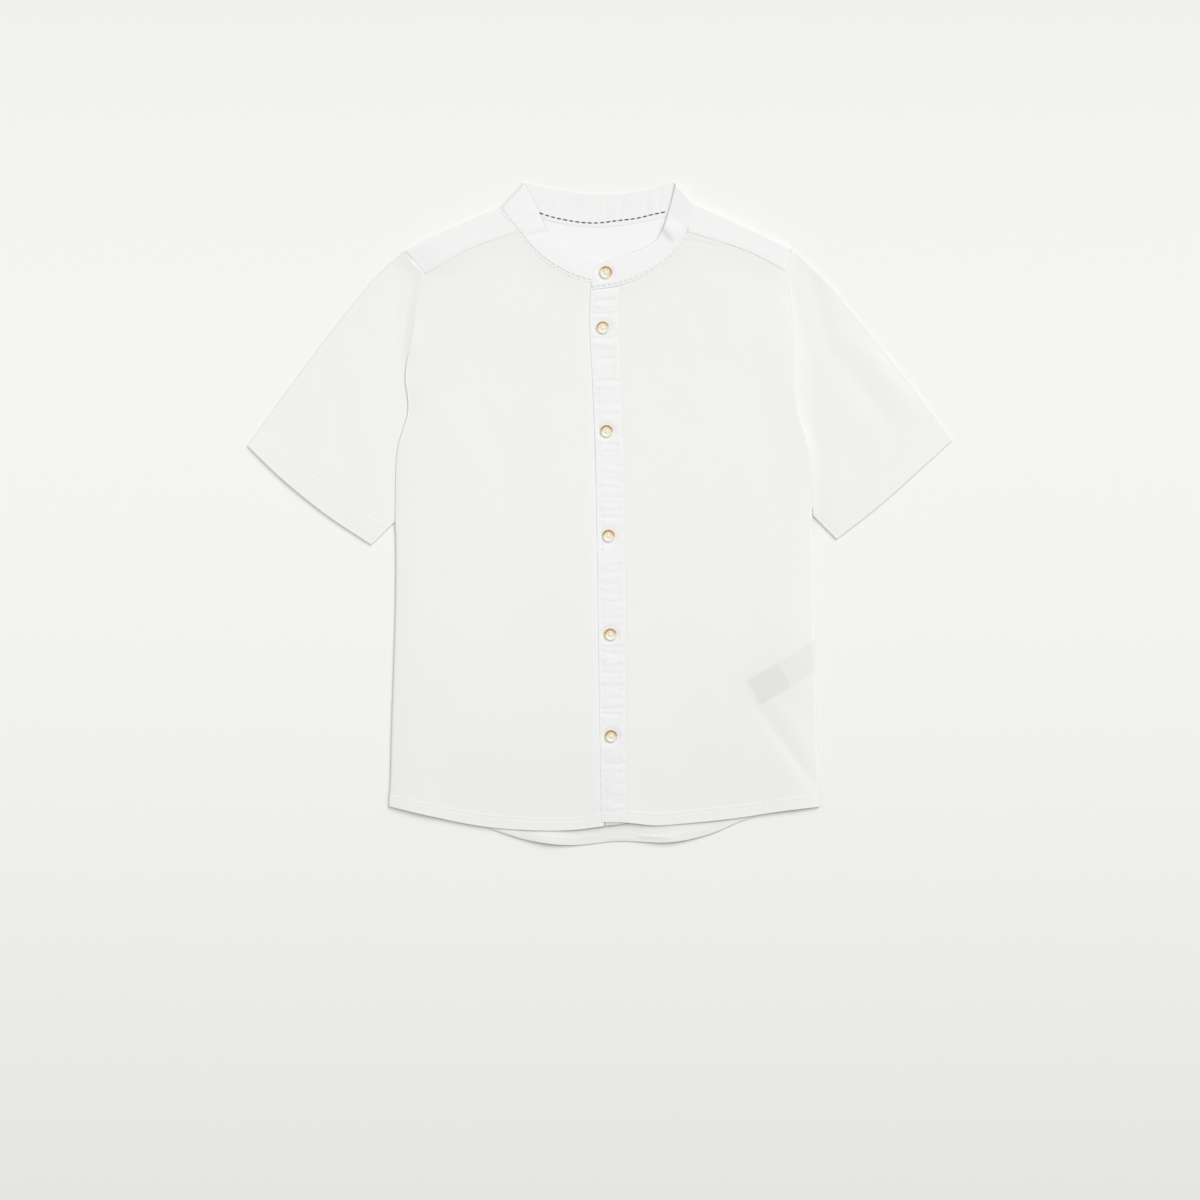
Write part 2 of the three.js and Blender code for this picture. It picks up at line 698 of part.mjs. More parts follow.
// A flattened tube from the armhole to the cuff. Its upper layer runs in under the front by its
// seam allowance, and both layers are doubled by the turned hem at the cuff.
function sleeveGeometry({ edgeX, shoulderY, underarmY, topRows, cuffRows, outward }) {
  const cuff = curveThrough(cuffRows);
  const armhole = (part) => {
    const y = lerp(shoulderY, underarmY, part);
    return new THREE.Vector3(edgeX(y) + outward * 1.5 * SEAM, y, 0);
  };
  const topEdge = curveThrough([armhole(0), ...topRows, cuffRows[0]]);
  const underEdge = curveThrough([armhole(1), cuffRows.at(-1)]);
  const edges = {
    bottom: armhole,
    top: (part) => cuff.getPointAt(part),
    start: (part) => topEdge.getPointAt(part),
    end: (part) => underEdge.getPointAt(part),
  };
  const around = fractions(12).map((part) => 0.5 - 0.5 * Math.cos(Math.PI * lerp(0.12, 0.88, part)));
  const places = [0, ...around, 1];
  const hemStart = (along) => 1 - CUFF_DEPTH / armhole(along).distanceTo(edges.top(along));
  const stations = [
    ...[0, 0.04, 0.1, 0.25, 0.5, 0.75, 0.98].map((part) => ({ part, hem: 0, isHem: false })),
    ...[0, 1].map((part) => ({ part: 1, hem: part, isHem: true })),
  ];
  const outer = [];
  const inner = [];
  stations.forEach(({ part, hem, isHem }, number) => {
    const wall = isHem ? CLOTH + TURNED : CLOTH;
    const planAt = (along) => {
      const up = lerp(hemStart(along) * part, 1, hem);
      const point = patchPoint(edges, along, up);
      return { point, up };
    };
    const edgeWidth = planAt(0).point.distanceTo(planAt(1).point);
    const clearOfEdge = wall / edgeWidth;
    const heightAt = (along, up) => {
      const air = SLEEVE_AIR * Math.sin(Math.PI * along) ** 0.7 * smoothstep(up, 0.04, 0.3);
      return 2 * wall + GAP + (number < 2 ? 0 : air * (1 - 0.35 * smoothstep(up, 0.6, 1)));
    };
    const tuckShape = (along) => smoothstep(along, 0.02, 0.16) * smoothstep(1 - along, 0.02, 0.16);
    const tuck = (along) => (number === 0 ? -outward * ALLOWANCE * tuckShape(along) : 0);
    const layer = (alongs, zOf, slide) => alongs.map((along) => {
      const { point, up } = planAt(along);
      return at(point.setX(point.x + (slide ? tuck(along) : 0)), zOf(heightAt(along, up)));
    });
    const insets = places.map((along) => lerp(clearOfEdge, 1 - clearOfEdge, along));
    outer.push([
      ...layer(places, (height) => height, true),
      ...layer([...places].reverse(), () => 0, false),
    ]);
    inner.push([
      ...layer(insets, (height) => height - wall, true),
      ...layer([...insets].reverse(), () => wall, false),
    ]);
  });
  return wallBetween(outer, inner, true);
}

// ---- Care label ------------------------------------------------------------------------------

function careLabelGeometry() {
  const rootX = leftEdgeX(LABEL.rootY) - LABEL.rootInset;
  const root = new THREE.Vector3(rootX, LABEL.rootY, 0);
  const end = new THREE.Vector3(LABEL.endX, LABEL.endY, 0);
  const along = end.clone().sub(root).normalize();
  const across = new THREE.Vector3(-along.y, along.x, 0);
  const grid = fractions(4).map((part) => fractions(2).map((side) => {
    const offset = (side - 0.5) * LABEL.width;
    const onRootLine = root.clone().addScaledVector(across, offset);
    onRootLine.addScaledVector(along, (rootX - onRootLine.x) / along.x);
    const atEnd = end.clone().addScaledVector(across, offset);
    return onRootLine.lerp(atEnd, part);
  }));
  const layer = (z) => grid.map((line) => line.map((point) => at(point, z)));
  return wallBetween(layer(CLOTH + GAP + CLOTH), layer(CLOTH + GAP));
}

// ---- Buttons ---------------------------------------------------------------------------------

// A dished button with a rounded rim and a circle of thread holes, its underside at z = 0.
function buttonGeometry() {
  const radius = BUTTON.diameter / 2;
  const profile = [
    { r: 0, z: 0 },
    { r: radius - 1.2, z: 0 },
    { r: radius - 0.3, z: 0.6 },
    { r: radius, z: 1.4 },
    { r: radius - 0.3, z: BUTTON.height - 0.2 },
    { r: radius - 0.8, z: BUTTON.height },
    { r: radius - BUTTON.rim, z: BUTTON.height - 0.2 },
    { r: radius - BUTTON.rim - 0.7, z: BUTTON.height - BUTTON.dish },
    { r: 0, z: BUTTON.height - BUTTON.dish - 0.1 },
  ];
  const lathe = new THREE.LatheGeometry(profile.map(({ r, z }) => new THREE.Vector2(r, z)), 24);
  lathe.rotateX(Math.PI / 2);
  let button = solidOf(facingOut(mergeVertices(lathe)));
  const holeRadius = THREAD_HOLES.diameter / 2;
  for (let hole = 0; hole < THREAD_HOLES.count; hole += 1) {
    const angle = (2 * Math.PI * (hole + 0.5)) / THREAD_HOLES.count;
    const drill = new THREE.CylinderGeometry(holeRadius, holeRadius, 3 * BUTTON.height, 8);
    drill.rotateX(Math.PI / 2);
    drill.translate(Math.cos(angle) * THREAD_HOLES.circle / 2, Math.sin(angle) * THREAD_HOLES.circle / 2, 0);
    button = button.subtract(solidOf(drill));
  }
  return geometryOf(button);
}

// Height at which a button just clears the cloth all round.
function buttonHeight({ name, x, y }) {
  const onBand = name === 'button_band';
  const cloth = fractions(8).map((part) => {
    const angle = 2 * Math.PI * part;
    const px = x + Math.cos(angle) * BUTTON.diameter / 2;
    const py = y + Math.sin(angle) * BUTTON.diameter / 2;
    return airUnder(px, py) + overlapLift(px) + (onBand ? BAND + BAND_STAND : STRIP);
  });
  return Math.max(...cloth) + GAP;
}

// ---- Assembly --------------------------------------------------------------------------------

const cotton = { color: 0xf1f1ee, roughness: 0.92, metalness: 0 };
const doubledCotton = { color: 0xf4f4f3, roughness: 0.9, metalness: 0 };
const labelSatin = { color: 0xe6e6e4, roughness: 0.6, metalness: 0 };
const hornResin = { color: 0xd8b27e, roughness: 0.35, metalness: 0 };

const shirt = new THREE.Group();

function addPiece(name, geometry, finish) {
  const mesh = new THREE.Mesh(geometry, new THREE.MeshStandardMaterial(finish));
  mesh.name = name;
  shirt.add(mesh);
  return mesh;
}

addPiece('back', backGeometry(), cotton);
addPiece('yoke', yokeGeometry(), doubledCotton);
addPiece('front_right', frontRightGeometry(), cotton);
addPiece('front_left', frontLeftGeometry(), cotton);
addPiece('button_stand', buttonStandGeometry(), doubledCotton);
addPiece('placket', placketGeometry(), doubledCotton);
addPiece('collar_band', collarBandGeometry(), doubledCotton);
addPiece('sleeve_right', sleeveGeometry({
  ...ARMHOLE_RIGHT,
  edgeX: rightEdgeX,
  topRows: SLEEVE_RIGHT_TOP,
  cuffRows: SLEEVE_RIGHT_CUFF,
  outward: -1,
}), cotton);
addPiece('sleeve_left', sleeveGeometry({
  ...ARMHOLE_LEFT,
  edgeX: leftEdgeX,
  topRows: SLEEVE_LEFT_TOP,
  cuffRows: SLEEVE_LEFT_CUFF,
  outward: 1,
}), cotton);
addPiece('care_label', careLabelGeometry(), labelSatin);

for (const button of BUTTONS) {
  const mesh = addPiece(button.name, buttonGeometry(), hornResin);
  mesh.position.set(button.x, button.y, buttonHeight(button));
}

export default shirt;
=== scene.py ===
import math
import random
from bisect import bisect_left

import bmesh
import bpy
from mathutils import Matrix, Vector, noise


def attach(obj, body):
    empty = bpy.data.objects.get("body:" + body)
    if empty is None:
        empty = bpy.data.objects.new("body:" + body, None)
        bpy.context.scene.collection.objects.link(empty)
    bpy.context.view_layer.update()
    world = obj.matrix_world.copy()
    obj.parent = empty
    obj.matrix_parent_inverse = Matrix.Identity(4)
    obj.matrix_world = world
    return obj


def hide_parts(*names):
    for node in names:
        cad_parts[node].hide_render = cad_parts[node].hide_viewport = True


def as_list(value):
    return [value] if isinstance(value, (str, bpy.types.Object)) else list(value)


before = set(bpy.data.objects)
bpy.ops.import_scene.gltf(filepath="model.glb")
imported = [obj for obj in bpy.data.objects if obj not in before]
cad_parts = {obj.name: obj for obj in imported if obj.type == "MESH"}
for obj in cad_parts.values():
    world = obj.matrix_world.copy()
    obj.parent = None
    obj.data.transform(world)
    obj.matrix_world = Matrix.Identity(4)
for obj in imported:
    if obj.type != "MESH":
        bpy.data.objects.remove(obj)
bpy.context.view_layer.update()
mm = 0.001
random.seed(8)


# table, lights and camera

studio = {
    "lens": 80,
    "sensorWidth": 36,
    "clip": (0.05, 60),
    "cameraHeight": 2.347,
    "aim": (0.0, -0.0766),
    "tableSize": 30,
    "tableLevel": -0.0002,
    "tableColour": (0.822, 0.830, 0.794, 1),
    "skyColour": (1.0, 1.0, 0.99, 1),
    "skyStrength": 0.338,
    "windowStrength": 1.852,
    "windowSpread": 34,
    "windowFrom": (0.52, 0.70, 0.62),
    "stripPower": 23.6,
    "stripSize": (7.0, 0.4),
    "stripPlace": (0.0, 0.12, 1.22),
}


def placeObject(name, data):
    made = bpy.data.objects.new(name, data)
    bpy.context.scene.collection.objects.link(made)
    return made


def placeMesh(name, bm):
    mesh = bpy.data.meshes.new(name)
    bm.to_mesh(mesh)
    bm.free()
    return placeObject(name, mesh)


def setStudio():
    scene = bpy.context.scene
    scene.view_settings.view_transform = "Standard"
    aimX, aimY = studio["aim"]

    lens = bpy.data.cameras.new("overheadCamera")
    lens.lens = studio["lens"]
    lens.sensor_width = studio["sensorWidth"]
    lens.clip_start, lens.clip_end = studio["clip"]
    camera = placeObject("overheadCamera", lens)
    camera.location = (aimX, aimY, studio["cameraHeight"])
    scene.camera = camera

    sky = bpy.data.worlds.new("studioRoom")
    sky.use_nodes = True
    room = sky.node_tree.nodes["Background"].inputs
    room["Color"].default_value = studio["skyColour"]
    room["Strength"].default_value = studio["skyStrength"]
    scene.world = sky

    # a wide soft window far off on one side, and a long strip lamp close above the collar
    glow = bpy.data.lights.new("softWindow", "SUN")
    glow.energy = studio["windowStrength"]
    glow.angle = math.radians(studio["windowSpread"])
    window = placeObject("softWindow", glow)
    window.rotation_euler = Vector(studio["windowFrom"]).to_track_quat("Z", "Y").to_euler()

    tube = bpy.data.lights.new("stripLamp", "AREA")
    tube.shape = "RECTANGLE"
    tube.size, tube.size_y = studio["stripSize"]
    tube.energy = studio["stripPower"]
    strip = placeObject("stripLamp", tube)
    strip.location = studio["stripPlace"]
    strip.visible_camera = False

    bm = bmesh.new()
    bmesh.ops.create_grid(bm, x_segments=2, y_segments=2, size=studio["tableSize"] / 2)
    bmesh.ops.translate(bm, verts=bm.verts, vec=(0, 0, studio["tableLevel"]))
    table = placeMesh("paleTable", bm)
    table.data.materials.append(paleTable())
    print("studio: camera, room, window, strip lamp and table")


# node helpers for the finishes

class Finish:
    def __init__(self, name):
        self.material = bpy.data.materials.new(name)
        self.material.use_nodes = True
        self.nodes = self.material.node_tree.nodes
        self.links = self.material.node_tree.links
        self.shader = self.nodes["Principled BSDF"]

    def add(self, kind, settings=None, **sockets):
        node = self.nodes.new("ShaderNode" + kind)
        for key, value in (settings or {}).items():
            setattr(node, key, value)
        for key, value in sockets.items():
            self.feed(node.inputs[key.replace("_", " ")], value)
        return node

    def feed(self, socket, value):
        if isinstance(value, bpy.types.NodeSocket):
            self.links.new(value, socket)
        else:
            socket.default_value = value

    def set(self, **sockets):
        for key, value in sockets.items():
            self.feed(self.shader.inputs[key.replace("_", " ")], value)

    def maths(self, operation, first, second):
        node = self.add("Math", {"operation": operation})
        self.feed(node.inputs[0], first)
        self.feed(node.inputs[1], second)
        return node.outputs[0]

    def place(self):
        return self.add("TexCoord").outputs["Object"]

    def cut(self):
        return self.add("UVMap", {"uv_map": "cut"}).outputs["UV"]

    def painted(self, name):
        return self.add("Attribute", {"attribute_name": name}).outputs["Fac"]

    def grain(self, place, scale, detail, **sockets):
        return self.add("TexNoise", Vector=place, Scale=scale, Detail=detail, **sockets).outputs["Fac"]

    def threads(self, direction, cut, scale, waver):
        wave = self.add("TexWave", {"bands_direction": direction}, Vector=cut, Scale=scale, Distortion=waver)
        return wave.outputs["Fac"]

    def bump(self, strength, depth, height):
        return self.add("Bump", Strength=strength, Distance=depth, Height=height).outputs["Normal"]

    def mixColour(self, share, first, second, blend="MIX"):
        node = self.add("Mix", {"data_type": "RGBA", "blend_type": blend})
        self.feed(node.inputs["Factor"], share)
        self.feed(node.inputs[6], first)
        self.feed(node.inputs[7], second)
        return node.outputs[2]

    def span(self, value, low, high, toLow, toHigh):
        node = self.add("MapRange", Value=value, From_Min=low, From_Max=high, To_Min=toLow, To_Max=toHigh)
        return node.outputs[0]


def paleTable():
    finish = Finish("paleTable")
    grain = finish.grain(finish.place(), 220.0, 2.0)
    finish.set(
        Base_Color=studio["tableColour"],
        Roughness=finish.span(grain, 0.2, 0.8, 0.86, 0.92),
        Specular_IOR_Level=0.1,
    )
    return finish.material


cottonFinish = {
    "single": (0.797, 0.802, 0.775, 1),  # one layer lets a little of the warm table through
    "doubled": (0.806, 0.806, 0.804, 1),
    "threadPitch": 0.0005,
    "threadWaver": 0.6,
    "weaveRelief": 0.35,
    "bump": (0.35, 0.00012),
    "slubWidth": 0.0007,
    "slubLength": 0.011,
    "slubTone": 0.010,
    "sheen": 0.12,
}


def wovenCotton(name, doubledAlways=False):
    look = cottonFinish
    finish = Finish(name)
    cut = finish.cut()
    perPitch = 2 * math.pi / (20 * look["threadPitch"])
    warp, weft = (finish.threads(direction, cut, perPitch, look["threadWaver"]) for direction in "XY")
    weave = finish.maths("MULTIPLY", warp, weft)

    def slubs(acrossSize, alongSize):
        stretched = finish.add("Mapping", Vector=cut, Scale=(1 / acrossSize, 1 / alongSize, 1)).outputs[0]
        return finish.grain(stretched, 1.0, 2.0, Roughness=0.6)

    warpSlubs = slubs(look["slubWidth"], look["slubLength"])
    weftSlubs = slubs(look["slubLength"] * 0.7, look["slubWidth"])
    slub = finish.maths("MULTIPLY", finish.maths("ADD", warpSlubs, weftSlubs), 0.5)

    shade = finish.painted("shade")
    if doubledAlways:
        cloth = look["doubled"]
    else:
        cloth = finish.mixColour(finish.painted("doubled"), look["single"], look["doubled"])
    tone = finish.span(slub, 0.35, 0.65, 1 - look["slubTone"], 1 + look["slubTone"] / 2)
    kept = finish.maths("MULTIPLY", tone, finish.maths("SUBTRACT", 1.0, shade))
    greyed = finish.add("CombineColor", Red=kept, Green=kept, Blue=kept).outputs[0]
    colour = finish.mixColour(1.0, cloth, greyed, "MULTIPLY")

    relief = finish.maths("ADD", finish.maths("MULTIPLY", weave, look["weaveRelief"]), slub)
    bump = finish.bump(*look["bump"], relief)
    finish.set(
        Base_Color=colour,
        Roughness=finish.span(slub, 0.3, 0.7, 0.84, 0.94),
        Specular_IOR_Level=0.2,
        Sheen_Weight=look["sheen"],
        Sheen_Roughness=0.5,
        Normal=bump,
    )
    return finish.material


def sewingThread(name, colour):
    finish = Finish(name)
    twist = finish.grain(finish.place(), 5200.0, 1.0)
    darker = tuple(0.8 * part for part in colour[:3]) + (1,)
    finish.set(
        Base_Color=finish.mixColour(twist, darker, colour),
        Roughness=finish.span(twist, 0.3, 0.7, 0.62, 0.78),
        Sheen_Weight=0.2,
        Normal=finish.bump(0.4, 0.00008, twist),
    )
    return finish.material


# lines of the pattern, in millimetres on the table, wearer's left on +X

def ease(value, low, high):
    share = min(1, max(0, (value - low) / (high - low)))
    return share * share * (3 - 2 * share)


def mix(first, second, share):
    return first + (second - first) * share


def shares(count, first=0.0, last=1.0):
    return [mix(first, last, step / count) for step in range(count + 1)]


def hump(offset, half):
    # 1 in the middle, dying away on both sides
    return math.exp(-(offset / half) ** 2)


def roundedOff(share):
    # a quarter round, 0 at the very edge and 1 where the face begins
    return math.sqrt(max(0, 1 - (1 - share) ** 2))


def domed(inset, reach):
    # how far the air has filled in under the cloth, so far from its held edge
    return 1 - (1 - min(1, inset / reach)) ** 2


def sideName(onRight):
    return "right" if onRight else "left"


class Line:
    # an edge, seam or fold drawn smoothly through its marks
    def __init__(self, marks):
        marks = [Vector(mark) for mark in marks]
        chain = [2 * marks[0] - marks[1], *marks, 2 * marks[-1] - marks[-2]]
        self.points = []
        for a, b, c, d in zip(chain, chain[1:], chain[2:], chain[3:]):
            before, span, after = (math.sqrt((q - p).length) for p, q in ((a, b), (b, c), (c, d)))
            leave = ((b - a) / before - (c - a) / (before + span) + (c - b) / span) * span
            arrive = ((c - b) / span - (d - b) / (span + after) + (d - c) / after) * span
            for t in shares(40)[:-1]:
                bend = (2 * b - 2 * c + leave + arrive) * t ** 3
                bow = (3 * c - 3 * b - 2 * leave - arrive) * t ** 2
                self.points.append(bend + bow + leave * t + b)
        self.points.append(marks[-1])
        self.runs = [0.0]
        for p, q in zip(self.points, self.points[1:]):
            self.runs.append(self.runs[-1] + (q - p).length)
        self.length = self.runs[-1]
        self.byX = sorted((p.x, p.y) for p in self.points)
        self.byY = sorted((p.y, p.x) for p in self.points)

    def at(self, share):
        run = share * self.length
        stop = min(max(bisect_left(self.runs, run), 1), len(self.runs) - 1)
        p, q = self.points[stop - 1], self.points[stop]
        return p + (q - p) * ((run - self.runs[stop - 1]) / (self.runs[stop] - self.runs[stop - 1]))

    def read(self, rows, value):
        stop = min(max(bisect_left(rows, (value, -1e9)), 1), len(rows) - 1)
        (x0, y0), (x1, y1) = rows[stop - 1], rows[stop]
        share = min(1, max(0, (value - x0) / (x1 - x0))) if x1 > x0 else 0
        return mix(y0, y1, share)

    def yAt(self, x):
        return self.read(self.byX, x)

    def xAt(self, y):
        return self.read(self.byY, y)

    def shareAtX(self, x):
        nearest = min(range(len(self.points)), key=lambda number: abs(self.points[number].x - x))
        return self.runs[nearest] / self.length


rightSide = Line([
    (-185.2, -258.3), (-183.7, -196), (-180, -72), (-179.9, 10), (-177.9, 56), (-168.6, 90),
    (-171, 122), (-166, 152), (-160.5, 188), (-154.5, 210), (-162.9, 220), (-171.5, 230.5),
])
leftSide = Line([
    (193.5, -258.5), (191, -196), (188.3, -82), (186.3, 10), (182, 56), (171.3, 96),
    (170.2, 140), (167.5, 180), (163.5, 212.5), (165, 220), (168.5, 232.5),
])
backHem = Line([
    (-185.2, -257.5), (-150, -265), (-104, -276), (-62, -288.4), (-26, -292.6), (16, -289),
    (62, -290), (96, -283), (128, -270.2), (160, -261.5), (193.5, -257.7),
])
rightHem = Line([
    (3.9, -275.6), (-24, -279), (-58, -279.4), (-102, -276), (-150, -266.7), (-185.2, -258.3),
])
leftHem = Line([
    (18.3, -272.1), (30, -273.2), (48, -275), (76, -273.2), (120, -268.6), (160, -262.5), (193.5, -258.5),
])
rightYokeSeam = Line([
    (-154.5, 210), (-138, 218.6), (-119, 229.8), (-100, 237.4), (-85, 242.4), (-73.5, 247.2),
])
leftYokeSeam = Line([(163.5, 212.5), (140, 225.2), (120, 233.6), (100, 239.8), (78.5, 246.6)])
rightShoulder = Line([(-89.5, 267.6), (-130, 249.8), (-171.5, 230.5)])
leftShoulder = Line([(84.5, 271.8), (127, 252.8), (168.5, 232.5)])
backNeck = Line([
    (-89.5, 267.6), (-62, 261.5), (-34, 254.4), (-4, 251.2), (30, 254.6), (60, 261.6), (84.5, 271.8),
])
rightNeck = Line([(-89.5, 267.6), (-73.5, 247.2), (-57, 228), (-33, 211), (-8, 202), (16, 199)])
leftNeck = Line([(84.5, 271.8), (78.5, 247.6), (66, 227.6), (44, 210.8), (18, 200), (-7.8, 195.8)])
backBandTop = Line([(-67.8, 291.4), (-40, 285.2), (-4, 280.6), (36, 283.6), (67.1, 291.8)])
rightBandTop = Line([
    (-67.8, 291.4), (-54, 265), (-46.5, 248.5), (-26, 230.8), (-2, 222.2), (16, 221.5),
])
leftBandTop = Line([(67.1, 291.8), (60.5, 266), (50, 240.5), (30, 229.2), (4, 221.4), (-7.8, 215)])
placketRows = [
    (-272, 0.9, 23.3), (-190, -0.4, 22.6), (-38, -2.6, 21.6), (60, -4.4, 20),
    (137, -7.7, 17.4), (171, -9.4, 16.4), (197.5, -8.4, 16.6),
]
placketRight = Line([(right, y) for y, right, left in placketRows])
placketLeft = Line([(left, y) for y, right, left in placketRows])


# how the layers lie on each other, in millimetres above the table

lay = {
    "base": 0.9,
    "air": 1.7,
    "airReach": 60,
    "sideReach": (15, 60),
    "overLabel": (0.5, -126.5, (20, 60), (80, 140)),  # rise, its middle, its fade up and down, and across
    "edgeReach": 18,
    "edgeShare": 0.4,
    "neckAir": 0.7,
    "neckSpread": (110, 70),
    "neckMiddle": 240,
    "wall": 1.0,  # face of the cloth above the underside of its layer
    "overlap": 0.2,
    "bandOverlap": 0.5,
    "overlapEnds": (28, 70),
    "cloth": 0.3,  # the cloth itself
    "hemSplit": 3.9,  # where the right front's hem ends and the left front's begins
    "hemReach": 90,
    "hemAir": (0.85, 0.24),  # share of the air left at the hem, beside the sides and in the middle
    "endAir": (0.6, 12, 15),  # more of it where the stiff placket ends: rise, middle and half width
    # face of the cloth along the armhole seams, propped up by the seam allowances: at the underarm,
    # in the middle and at the shoulder, with the heights between which it climbs and falls
    "armhole": {
        "right": (1.9, 3.1, 2.3, (128, 150), (196, 216)),
        "left": (1.9, 4.0, 2.3, (-8, 72), (130, 198)),
    },
    "joined": {"right": (128, 146), "left": (-12, 2)},
}


def armholeHeight(onRight, y):
    low, middle, high, climb, fall = lay["armhole"][sideName(onRight)]
    return mix(mix(low, middle, ease(y, *climb)), high, ease(y, *fall))


def joinedToSeam(onRight, y):
    # 1 where the sleeve's face meets the body's, 0 where the sleeve is slipped in under its edge
    return ease(y, *lay["joined"][sideName(onRight)])


def airUnder(x, y):
    fromRight, fromLeft = x - rightSide.xAt(y), leftSide.xAt(y) - x
    inset = max(0, min(fromRight, fromLeft))
    held = armholeHeight(fromRight < fromLeft, y) - lay["base"] - lay["wall"]
    broad, close = domed(inset, lay["airReach"]), domed(inset, lay["edgeReach"])
    rise = mix(held, lay["air"], mix(broad, close, lay["edgeShare"]))
    nearSide = 1 - ease(inset, *lay["sideReach"])
    overLabel, labelY, upAndDown, across = lay["overLabel"]
    overLabel *= (1 - ease(abs(y - labelY), *upAndDown)) * ease(x, *across)
    hemY = (rightHem if x < lay["hemSplit"] else leftHem).yAt(x)
    endAir, endX, endHalf = lay["endAir"]
    atHem = mix(*lay["hemAir"], ease(inset, 20, 55)) + endAir * hump(x - endX, endHalf)
    rise *= mix(atHem, 1, ease(y - hemY, 0, lay["hemReach"]))
    neckWide, neckTall = lay["neckSpread"]
    fromNeck = math.hypot(x / neckWide, (y - lay["neckMiddle"]) / neckTall)
    atNeck = lay["neckAir"] * (1 - ease(fromNeck, 0.6, 1.9))
    return lay["base"] + rise + nearSide * overLabel + atNeck


def liftOver(height):
    # what lies on the right front is lifted, and the lift dies away towards the side
    return lambda x: height * (1 - ease(x, *lay["overlapEnds"]))


overlapLift, bandLift, noLift = liftOver(lay["overlap"]), liftOver(lay["bandOverlap"]), liftOver(0.0)


def ripple(x, y, sizeX, sizeY, seed):
    return noise.noise(Vector((x / sizeX, y / sizeY, seed)))


def rippled(x, y, ripples):
    # sum of soft random ripples, each with an amount, a size across and up, and a seed
    return sum(amount * ripple(x, y, *size) for amount, *size in ripples)


def alongAcross(x, y, x0, y0, x1, y1):
    # share of the way along a line, and the distance off it
    runX, runY = x1 - x0, y1 - y0
    length = math.hypot(runX, runY)
    along = ((x - x0) * runX + (y - y0) * runY) / length ** 2
    return along, ((x - x0) * runY - (y - y0) * runX) / length


def betweenEnds(along):
    return math.sin(math.pi * min(1, max(0, along))) ** 0.7


def soften(x, y, folds):
    # sum of listed folds: each runs between two ends and dies away at both
    total = 0.0
    for x0, y0, x1, y1, width, depth in folds:
        along, across = alongAcross(x, y, x0, y0, x1, y1)
        if -0.02 < along < 1.02 and abs(across) < 3 * width:
            total += depth * betweenEnds(along) * hump(across, width)
    return total


def stepUp(x, y, step):
    # a rise across the line between two points, which then sinks away
    *line, half, height, reach = step
    along, across = alongAcross(x, y, *line)
    return height * betweenEnds(along) * ease(across, -half, half) * (1 - ease(across, half, reach))


# making pieces

def layOut(columns, rows, place, cut, faceUp=True):
    # a flat grid, cut to size, with every thread crossing put in its place
    bm = bmesh.new()
    bmesh.ops.create_grid(bm, x_segments=columns, y_segments=rows, size=0.5)
    cutLayer = bm.loops.layers.uv.new("cut")
    doubled = bm.verts.layers.float.new("doubled")
    shade = bm.verts.layers.float.new("shade")
    number = {
        vert: (round((vert.co.x + 0.5) * columns), round((vert.co.y + 0.5) * rows))
        for vert in bm.verts
    }
    for face in bm.faces:
        for loop in face.loops:
            column, row = number[loop.vert]
            loop[cutLayer].uv = cut(column, row)
    for vert, (column, row) in number.items():
        x, y, z, layers, grey = place(column, row)
        vert.co = (x * mm, y * mm, z * mm)
        vert[doubled] = layers
        vert[shade] = grey
    if faceUp:
        bm.normal_update()
        if sum(face.normal.z * face.calc_area() for face in bm.faces) < 0:
            bmesh.ops.reverse_faces(bm, faces=bm.faces)
    return bm


def makePiece(name, bm, finish, nodes=(), wall=None, crisp=50):
    piece = placeMesh(name, bm)
    if wall:
        mesh = piece.data
        thick = piece.modifiers.new("wall", "SOLIDIFY")
        thick.thickness = wall * mm
        thick.offset = -1
        shaped = piece.evaluated_get(bpy.context.evaluated_depsgraph_get())
        piece.data = bpy.data.meshes.new_from_object(shaped)
        piece.modifiers.clear()
        bpy.data.meshes.remove(mesh)
        piece.data.name = name
    piece.data.materials.clear()
    piece.data.materials.append(finish)
    piece.data.shade_smooth()
    piece.data.set_sharp_from_angle(angle=math.radians(crisp))
    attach(piece, "root")
    if nodes:
        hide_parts(*nodes)
    area = sum(polygon.area for polygon in piece.data.polygons)
    print(name, len(piece.data.polygons), "faces,", round(area / 2, 5), "square metres of cloth")
    return piece


def betweenCorners(corners, u, v):
    low0, low1, high0, high1 = corners
    return (low0 * (1 - u) + low1 * u) * (1 - v) + (high0 * (1 - u) + high1 * u) * v


class Panel:
    # places inside four edges, each edge a function of a share of its length
    def __init__(self, bottom, top, start, end, us, vs):
        self.us, self.vs = us, vs
        self.bottom = [bottom(u) for u in us]
        self.top = [top(u) for u in us]
        self.start = [start(v) for v in vs]
        self.end = [end(v) for v in vs]
        self.corners = bottom(0), bottom(1), top(0), top(1)

    def at(self, column, row):
        u, v = self.us[column], self.vs[row]
        across = self.bottom[column] * (1 - v) + self.top[column] * v
        upward = self.start[row] * (1 - u) + self.end[row] * u
        return across + upward - betweenCorners(self.corners, u, v)


def upEdge(xAt, low, high):
    # an edge that climbs from one height to another
    return lambda v: Vector((xAt(mix(low, high, v)), mix(low, high, v)))


def levelEdge(y):
    # straight across from one side seam to the other
    return lambda u: Vector((mix(rightSide.xAt(y), leftSide.xAt(y), u), y))


def turnedEdge(radius, depth, steps=5):
    # insets and drops round a turned edge, from the part folded under up to the face
    parts = (1, 0.86, 0.75, 0.6, 0.45, 0.3, 0.15)
    under = [(depth * part, 2 * radius) for part in parts] + [(1.2 * radius, 2 * radius)]
    turn = []
    for step in range(steps):
        angle = math.pi * ((step + 0.5) / steps - 0.5)
        turn.append((radius * (1 - math.cos(angle)), radius * (1 - math.sin(angle))))
    return under + turn


# fronts

